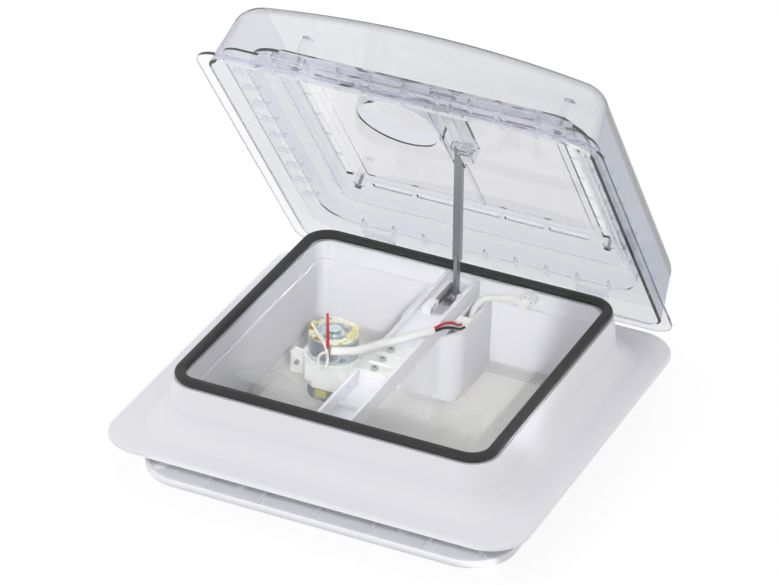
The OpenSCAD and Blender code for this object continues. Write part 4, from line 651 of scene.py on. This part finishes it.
    def beam(self, name, power, turn, rise, spread, aim, size, distance):
        """A narrow beam whose long side lies along the vent's front."""
        toward = direction(math.radians(turn), math.radians(rise))
        level = (Vector((1, 0, 0)) - toward * toward.x).normalized()
        data = bpy.data.lights.new(name, "AREA")
        data.shape = "RECTANGLE"
        data.size = size[0]
        data.size_y = size[1]
        data.spread = math.radians(spread)
        data.energy = power
        lamp = new_object(name, data)
        lamp.matrix_world = placed_axes(level, toward.cross(level), toward, aim + distance * toward)
        lamp.visible_camera = False
        lamp.visible_transmission = False


# Wires and leads

# Points of each wire's middle line, in mm, set to lie where the photo shows the wire
ROUTES = {
    "lead_sleeve": [(-31.5, -62.3, 64.8), (-21, -55.4, 63.6), (-15.2, -44.4, 60.2), (-11.6, -28, 56),
                    (-8.5, -13.5, 52.2), (-2, -4.2, 51.2), (7.2, 9.8, 51), (20, 28, 51)],
    "wire_red": [(19.8, 27, 52.2), (20.8, 29.4, 52.4), (24, 42, 51), (26.2, 54, 46.2), (26.6, 64.5, 38.8),
                 (26.3, 72.2, 35), (26.3, 74.5, 34.4)],
    "wire_black": [(20, 27.2, 49.8), (21, 29.6, 49.6), (24.4, 42, 47.2), (27.4, 54, 41.6), (29, 64.5, 35.6),
                   (29.4, 72.2, 33.2), (29.4, 74.5, 33)],
    "motor_wire_red": [(-52.2, -25.2, 74.1), (-45.2, -39.6, 74.8), (-38.4, -53.6, 73.2), (-35.4, -60, 70.4),
                       (-33.4, -63.2, 66.6)],
    "motor_wire_white": [(-55.8, -45.6, 74.1), (-48, -54.6, 74.6), (-40, -61, 71.6), (-36.4, -61.2, 65.5),
                         (-34, -62.4, 57), (-34, -65.4, 50.6), (-37.2, -66.4, 47.4), (-40.4, -66.2, 51.2),
                         (-40.6, -66, 57), (-38.2, -65.8, 61.8), (-34.4, -64.6, 63.4)],
    "control_lead": [(22.6, 98, 15), (22.7, 103.4, 23.4), (23, 108.6, 30.8), (26.6, 113, 36.8),
                     (33, 116, 40.4), (40, 118, 41.4), (47.6, 120.2, 42.4), (53.2, 122.1, 41.6),
                     (56.2, 123.4, 41)],
}
# Steps of the smooth curve between two of these points
ROUTE_STEPS = 6


def smooth_route(points):
    """Points along a smooth curve through the route's own points, in metres."""
    line = [Vector(p) * MM for p in points]
    made = []
    for i in range(len(line) - 1):
        a = line[max(i - 1, 0)]
        b = line[i]
        c = line[i + 1]
        d = line[min(i + 2, len(line) - 1)]
        for s in range(ROUTE_STEPS):
            t = s / ROUTE_STEPS
            made.append(0.5 * (2 * b + (c - a) * t + (2 * a - 5 * b + 4 * c - d) * t * t
                               + (3 * b - a - 3 * c + d) * t * t * t))
    made.append(line[-1])
    return made


class VENT_OT_wires(bpy.types.Operator):
    """Lay the sleeved leads and the single wires along their routes"""
    bl_idname = "vent.wires"
    bl_label = "Wires and leads"

    def execute(self, context):
        s = sizes()
        plug = [NODES["lead_plug"]]
        socket = [NODES["control_connector"]]
        self.wire("lead_sleeve", s.sleeve_width, "sleeve", "white_sleeve", "object", "medium", [])
        self.wire("wire_red", s.wire_width, "red", "red_wire", "plug", "limp", plug)
        self.wire("wire_black", s.wire_width, "black", "black_wire", "plug", "limp", plug)
        self.wire("motor_wire_red", s.motor_wire, "red", "red_wire", "object", "limp", [])
        self.wire("motor_wire_white", s.motor_wire, "sleeve", "white_sleeve", "object", "limp", [])
        self.wire("control_lead", s.lead_width, "sleeve", "white_sleeve", "connector", "medium", socket)
        return {"FINISHED"}

    def wire(self, name, width, material, slot, far_end, stiffness, on_it):
        line = smooth_route(ROUTES[name])
        curve = bpy.data.curves.new(name + "_line", "CURVE")
        curve.dimensions = "3D"
        curve.bevel_depth = width / 2
        curve.bevel_resolution = 4
        curve.use_fill_caps = True
        spline = curve.splines.new("POLY")
        spline.points.add(len(line) - 1)
        for point, place in zip(spline.points, line):
            point.co = (*place, 1)
        spline.use_smooth = True
        curve.materials.append(MATERIALS[material])
        piece = new_object(name + "_wire", curve)
        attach(piece, "base")
        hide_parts(name)


# Clear lid

# Steps from the middle of the dome's top to its edge, and degrees between the rings round its shoulder
TOP_RINGS = 12
SHOULDER_STEP = 9
# Steps of a ring round each corner, and along each side
CORNER_STEPS = 12
SIDE_STEPS = 28
# Chamfer of the brim's trimmed edge, and the least radius of a ring's corner
TRIM = 0.5 * MM
LEAST_CORNER = 6 * MM


def hinge_turn():
    """The turn that takes the closed lid to its open rest pose."""
    pivot = Vector(JOINTS["lid_hinge"]["pos_m"])
    turn = Matrix.Rotation(-sizes().lid_open, 4, "X")
    return Matrix.Translation(pivot) @ turn @ Matrix.Translation(-pivot)


def rounded_ring(half_x, half_y, radius):
    """Points of a rounded rectangle, evenly spread along its sides."""
    points = []
    signs = ((1, 1), (-1, 1), (-1, -1), (1, -1))
    centres = [Vector((x * (half_x - radius), y * (half_y - radius))) for x, y in signs]
    for corner, middle in enumerate(centres):
        turn = math.pi / 2 * corner
        following = centres[(corner + 1) % 4]
        for step in range(CORNER_STEPS + 1):
            angle = turn + math.pi / 2 * step / CORNER_STEPS
            points.append(middle + radius * Vector((math.cos(angle), math.sin(angle))))
        outward = radius * Vector((math.cos(turn + math.pi / 2), math.sin(turn + math.pi / 2)))
        for step in range(1, SIDE_STEPS):
            points.append(middle.lerp(following, step / SIDE_STEPS) + outward)
    return points


class VENT_OT_lid(bpy.types.Operator):
    """Loft the smooth clear dome of the lid"""
    bl_idname = "vent.lid"
    bl_label = "Clear lid"

    def execute(self, context):
        s = sizes()
        self.half = s.lid_width / 2
        self.half_y = (s.lid_back + self.half) / 2
        self.middle_y = (s.lid_back - self.half) / 2
        outer = self.skin(0)
        inner = self.skin(s.dome_wall)
        brim = [self.ring(self.skirt(s.brim_thick), s.brim_thick), self.ring(TRIM, s.brim_thick),
                self.ring(0, s.brim_thick - TRIM), self.ring(0, TRIM), self.ring(TRIM, 0),
                self.ring(s.brim + s.dome_wall, 0)]
        rings = outer + brim + inner[::-1]
        half_skin = len(outer) // 2
        outer_kinds = ["clear"] * half_skin + ["shoulder"] * (len(outer) - half_skin - 1)
        inner_kinds = ["clear"] * len(outer_kinds)
        kinds = outer_kinds + ["wall", "clear", "edge", "edge", "edge", "clear", "clear"] + inner_kinds
        used = ["clear", "wall", "shoulder", "edge"]
        bm = bmesh.new()
        rows = [[bm.verts.new(point) for point in ring] for ring in rings]
        count = len(rows[0])
        for row, following, kind in zip(rows, rows[1:], kinds):
            for i in range(count):
                after = (i + 1) % count
                face = bm.faces.new((row[i], row[after], following[after], following[i]))
                face.material_index = used.index(kind)
        bm.faces.new(rows[0])
        bm.faces.new(rows[-1])
        bm.transform(hinge_turn())
        dome = mesh_object("clear_dome", bm, [MATERIALS[kind] for kind in used], "lid")
        let_light_through(dome)
        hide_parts("lid_dome")
        return {"FINISHED"}

    def skirt(self, height):
        """How far the dome's side lies inside the brim at this height."""
        s = sizes()
        return s.brim + s.dome_draft * height / s.dome_height

    def ring(self, inset, height, shrink=1.0):
        """One ring of the closed lid, raised by its share of the crown."""
        s = sizes()
        radius = max(s.dome_corner - inset / 2, LEAST_CORNER)
        made = []
        for p in rounded_ring(self.half - inset, self.half_y - inset, radius):
            x = p.x * shrink
            rise = s.dome_crown * (1 - (x / (self.half - s.brim)) ** 2)
            level = s.rim_height + height + rise * height / s.dome_height
            made.append((x, self.middle_y + p.y * shrink, level))
        return made

    def skin(self, depth):
        """The rings of the dome's skin at this depth, from the top's middle to the shoulder's foot."""
        s = sizes()
        radius = s.dome_edge - depth
        foot = s.dome_height - s.dome_edge
        side = self.skirt(foot) + depth
        top = s.dome_height - depth
        rings = [self.ring(side + radius, top, share / TOP_RINGS) for share in range(1, TOP_RINGS)]
        for degrees in range(90, -1, -SHOULDER_STEP):
            angle = math.radians(degrees)
            rings.append(self.ring(side + radius * (1 - math.cos(angle)), foot + radius * math.sin(angle)))
        return rings


# Insect screen

# Room between the screen's wires and the control well
WELL_GAP = 0.4 * MM


class VENT_OT_screen(bpy.types.Operator):
    """Weave the fine insect screen round the control well"""
    bl_idname = "vent.screen"
    bl_label = "Insect screen"

    def execute(self, context):
        low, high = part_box("insect_screen")
        well_low, well_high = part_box("control_well")
        left = well_low.x - WELL_GAP
        right = well_high.x + WELL_GAP
        front = well_low.y - WELL_GAP
        level = (low.z + high.z) / 2
        tree = wire_row_tree()
        regions = [
            (low.x, high.x, low.y, front),
            (low.x, left, front, high.y),
            (right, high.x, front, high.y),
        ]
        bm = bmesh.new()
        for region in regions:
            for along_y in (False, True):
                part = self.row(tree, region, along_y, level)
                bm.from_mesh(part)
                bpy.data.meshes.remove(part)
        screen = mesh_object("woven_screen", bm, [MATERIALS["mesh"]], "base")
        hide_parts("insect_screen")
        return {"FINISHED"}

    def row(self, tree, region, along_y, level):
        """One set of parallel wires over a rectangle, as a plain mesh in place."""
        s = sizes()
        x0, x1, y0, y1 = region
        length = y1 - y0 if along_y else x1 - x0
        span = x1 - x0 if along_y else y1 - y0
        count = int(span / s.mesh_pitch)
        lift = 0.5 * s.mesh_wire * (1 if along_y else -1)
        made = run_tree(tree, {"Count": count, "Pitch": span / count, "Length": length,
                               "Thickness": s.mesh_wire, "Material": MATERIALS["mesh"]})
        turn = Matrix.Rotation(math.pi / 2 if along_y else 0, 4, "Z")
        middle = Vector(((x0 + x1) / 2, (y0 + y1) / 2, level + lift))
        made.transform(Matrix.Translation(middle) @ turn)
        return made


def new_tree(name, inputs):
    """An empty geometry tree with named inputs and one geometry output."""
    tree = bpy.data.node_groups.new(name, "GeometryNodeTree")
    for label, kind in inputs:
        tree.interface.new_socket(label, in_out="INPUT", socket_type=kind)
    tree.interface.new_socket("Geometry", in_out="OUTPUT", socket_type="NodeSocketGeometry")
    return tree, tree.nodes.new("NodeGroupInput"), tree.nodes.new("NodeGroupOutput")


def run_tree(tree, values):
    """Evaluates a geometry tree on an empty object and returns the result as a plain mesh."""
    holder = new_object("holder", bpy.data.meshes.new("holder"))
    modifier = holder.modifiers.new("tree", "NODES")
    modifier.node_group = tree
    for item in tree.interface.items_tree:
        if item.in_out == "INPUT" and item.name in values:
            modifier[item.identifier] = values[item.name]
    bpy.context.view_layer.update()
    evaluated = holder.evaluated_get(bpy.context.evaluated_depsgraph_get())
    mesh = bpy.data.meshes.new_from_object(evaluated)
    bpy.data.objects.remove(holder)
    return mesh


def wire_row_tree():
    """Parallel square wires along X, spread evenly along Y about the origin."""
    tree, group, result = new_tree("row of wires", [("Count", "NodeSocketInt"), ("Pitch", "NodeSocketFloat"),
                                                    ("Length", "NodeSocketFloat"),
                                                    ("Thickness", "NodeSocketFloat"),
                                                    ("Material", "NodeSocketMaterial")])
    given = group.outputs
    size = add_node(tree, "ShaderNodeCombineXYZ", {"X": given["Length"], "Y": given["Thickness"],
                                                   "Z": given["Thickness"]})
    wire = add_node(tree, "GeometryNodeMeshCube", {"Size": size.outputs["Vector"]})
    less = add_node(tree, "ShaderNodeMath", {0: given["Count"], 1: 1.0}, operation="SUBTRACT")
    span = add_node(tree, "ShaderNodeMath", {0: less.outputs[0], 1: given["Pitch"]}, operation="MULTIPLY")
    half = add_node(tree, "ShaderNodeMath", {0: span.outputs[0], 1: -0.5}, operation="MULTIPLY")
    start = add_node(tree, "ShaderNodeCombineXYZ", {"Y": half.outputs[0]})
    step = add_node(tree, "ShaderNodeCombineXYZ", {"Y": given["Pitch"]})
    row = add_node(tree, "GeometryNodeMeshLine", {"Count": given["Count"],
                                                  "Start Location": start.outputs["Vector"],
                                                  "Offset": step.outputs["Vector"]}, mode="OFFSET")
    copies = add_node(tree, "GeometryNodeInstanceOnPoints", {"Points": row.outputs["Mesh"],
                                                             "Instance": wire.outputs["Mesh"]})
    real = add_node(tree, "GeometryNodeRealizeInstances", {"Geometry": copies.outputs["Instances"]})
    painted = add_node(tree, "GeometryNodeSetMaterial", {"Geometry": real.outputs["Geometry"],
                                                         "Material": given["Material"]})
    tree.links.new(painted.outputs["Geometry"], result.inputs["Geometry"])
    return tree


# Panel and registration

class VENT_PT_panel(bpy.types.Panel):
    """Lists the vent's operators"""
    bl_idname = "VENT_PT_panel"
    bl_label = "Roof vent"
    bl_space_type = "VIEW_3D"
    bl_region_type = "UI"
    bl_category = "Roof vent"

    def draw(self, context):
        for operator in OPERATORS:
            self.layout.operator(operator.bl_idname)


SETTINGS = (VentCamera, VentLight, VentSizes, VentColours)
OPERATORS = (VENT_OT_finishes, VENT_OT_stage, VENT_OT_wires, VENT_OT_lid, VENT_OT_screen)
CLASSES = SETTINGS + OPERATORS + (VENT_PT_panel,)


def register():
    for item in CLASSES:
        bpy.utils.register_class(item)
    bpy.types.Scene.vent_camera = PointerProperty(type=VentCamera)
    bpy.types.Scene.vent_light = PointerProperty(type=VentLight)
    bpy.types.Scene.vent_sizes = PointerProperty(type=VentSizes)
    bpy.types.Scene.vent_colours = PointerProperty(type=VentColours)


def unregister():
    del bpy.types.Scene.vent_colours
    del bpy.types.Scene.vent_sizes
    del bpy.types.Scene.vent_light
    del bpy.types.Scene.vent_camera
    for item in reversed(CLASSES):
        bpy.utils.unregister_class(item)


def main():
    register()
    bpy.ops.vent.finishes()
    bpy.ops.vent.stage()
    bpy.ops.vent.wires()
    bpy.ops.vent.lid()
    bpy.ops.vent.screen()


if __name__ == "__main__":
    main()
